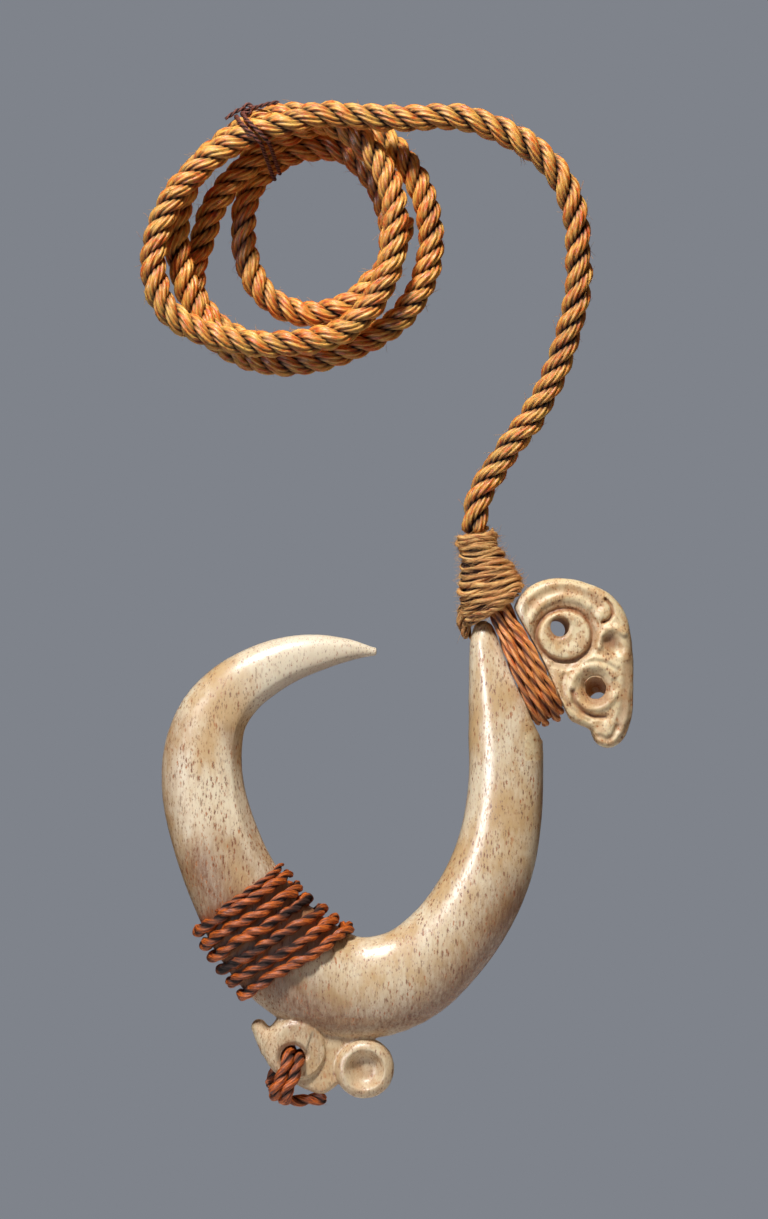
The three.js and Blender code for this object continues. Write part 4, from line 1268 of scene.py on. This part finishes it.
bone_finish = Finish(bpy.data.materials.new("polished_bone"))
place = bone_finish.node("TexCoord", {}, {}, 3)
worn_and_lit, patina_and_painted_shade, pitted, rough, stain_and_painted_shade = (bone_finish.attribute(name) for name in tones)
ragged = bone_finish.node("TexNoise", {}, {"Vector": place, "Scale": 1500.0, "Detail": 2.0}, 1)
ragged = bone_finish.node("VectorMath", {"operation": "MULTIPLY_ADD"},
                          {0: ragged, 1: (0.7 * MM,) * 3, 2: place})
clouds = bone_finish.noise(bone_finish.mapped(place, (75, 75, 45), ALONG_GRAIN), 4, 0.6)
grain = bone_finish.noise(bone_finish.mapped(ragged, (1100, 1100, 170), ALONG_GRAIN), 4, 0.65)
crowd = bone_finish.noise(bone_finish.mapped(place, (95, 95, 60)), 2, 0.5)
fine = dashes(bone_finish, ragged, 0.6, 1.8, 0.8, 0.44)
small = dashes(bone_finish, ragged, 0.95, 3.2, 0.8, 0.4)
large = dashes(bone_finish, ragged, 1.7, 5.2, 0.5, 0.33)
dense = bone_finish.between(crowd, 0.28, 0.52) * (1 - worn_and_lit * 0.8)
clumps = bone_finish.noise(bone_finish.mapped(place, (260,) * 3), 3, 0.6)
clusters = bone_finish.between(clumps, 0.44, 0.6)
pits = dashes(bone_finish, ragged, 1.0, 1.1, 0.75, 0.5) * pitted * clusters
drawn = (fine * 0.65 + small * (dense * 0.85 + 0.15) + large * (dense * 0.7 + 0.1)) * (1 - pitted * 0.55)
pores = (drawn + pits).clamped()
cream = colour(248, 232, 202)
for share, tint in (
    (bone_finish.between(clouds, 0.38, 0.64), (220, 186, 138)),
    (bone_finish.between(grain, 0.42, 0.72) * 0.4, (200, 148, 92)),
    # wear, and painted light on the top of the point
    (worn_and_lit * 0.75, (252, 240, 216)),
    (pitted * 0.6, (255, 234, 186)),
    (clusters * pitted * 0.5, (204, 142, 72)),
    # patina, and painted shade on the undersides and right-hand edges
    (patina_and_painted_shade * (grain + 0.35), (136, 86, 42)),
    # stain, and painted shade in the grooves, the eyes and under the lashing
    ((stain_and_painted_shade * (grain * 0.9 + 0.65)).clamped() * 0.9, (150, 88, 38)),
):
    cream = bone_finish.mix(share, cream, colour(*tint))
brown = bone_finish.mix(
    bone_finish.between(grain, 0.35, 0.62), colour(190, 110, 44), colour(112, 54, 18)
)
base = bone_finish.mix(pores * 0.88, cream, brown)
roughness = (pores * 0.35 + grain * 0.14 + stain_and_painted_shade * 0.25 + (rough + pitted) * 0.25 + 0.18).clamped()
height = 1 - pores * 0.9 + grain * 0.3 + clouds * 0.4
paint(bone, bone_finish.close(
    Base_Color=base,
    Roughness=roughness,
    Coat_Weight=(0.9 - rough * 0.75 - pitted * 0.5).clamped(),
    Coat_Roughness=0.36,
    Normal=bone_finish.bump(height, 0.3, 0.2),
    Subsurface_Weight=0.08,
    Subsurface_Radius=(0.0025, 0.0018, 0.001),
    Subsurface_Scale=0.5,
))

# %% [markdown]
# ## Floor, light and background
#
# A pale round floor lies well below the hook, outside the front view. A small key lamp stands high
# in front and gives firm shadows. A tall window at the left shows only in the polish, as a long
# highlight. A weak warm lamp fills from the right, one behind lifts the edges, and the world fills
# the rest. The camera sees a plain blue-grey behind the object.

# %% Stage
FLOOR_DROP, FLOOR_RADIUS = 0.09, 0.34
bpy.ops.mesh.primitive_circle_add(
    vertices=96, radius=FLOOR_RADIUS, fill_type="NGON",
    location=(VIEW_CENTRE[0] * MM, 0, cad_low.z - FLOOR_DROP)
)
floor = bpy.context.object
floor.name = "floor"
floor_finish = Finish(bpy.data.materials.new("pale_floor"))
paint(floor, floor_finish.close(Base_Color=colour(205, 206, 208), Roughness=0.8))


middle_of_it = np.array((VIEW_CENTRE[0] * MM, 0, VIEW_CENTRE[1] * MM))
KEY_DIRECTION, KEY_DISTANCE = np.array((-0.22, -0.57, 0.79)), 1.35
WINDOW_DIRECTION, WINDOW_DISTANCE = np.array((-0.62, -0.78, 0.08)), 1.6


def soft_lamp(name, place, size, watts, tint):
    """A rectangular lamp that faces the middle of the object."""
    bpy.ops.object.light_add(type="AREA", location=place)
    lamp = bpy.context.object
    lamp.name = name
    lamp.data.shape = "RECTANGLE"
    lamp.data.size, lamp.data.size_y = size
    lamp.data.energy = watts
    lamp.data.color = tint
    aim = middle_of_it - place
    lamp.rotation_euler = (math.acos(-unit(aim)[2]), 0, math.atan2(-aim[0], aim[1]))
    return lamp


soft_lamp("key", middle_of_it + KEY_DISTANCE * KEY_DIRECTION, (0.2, 0.2), 23, (1, 0.99, 0.98))
window = soft_lamp("window", middle_of_it + WINDOW_DISTANCE * WINDOW_DIRECTION, (0.4, 0.8), 20,
                   (0.97, 0.98, 1))
window.visible_diffuse = False
soft_lamp("fill", (0.9, -1.0, 0.1), (0.7, 0.7), 0.7, (1, 0.84, 0.66))
back = soft_lamp("back", (0.4, 1.3, 0.4), (0.9, 0.9), 6, (1, 0.97, 0.93))
back.visible_glossy = False
world = bpy.data.worlds.new("room")
bpy.context.scene.world = world
room = Finish(world)
seen = room.node("LightPath", {}, {}, 0)
mirrored = room.node("LightPath", {}, {}, 3)
glow = room.node("Background", {}, {"Color": colour(236, 204, 170), "Strength": 0.05})
wall = room.node("Background", {}, {"Color": colour(127, 131, 139), "Strength": 1.0})
share = (seen + mirrored * 0.15).clamped()
room.node("OutputWorld", {}, {"Surface": room.node("MixShader", {}, {0: share, 1: glow, 2: wall})})
bpy.context.scene.view_settings.view_transform = "Standard"
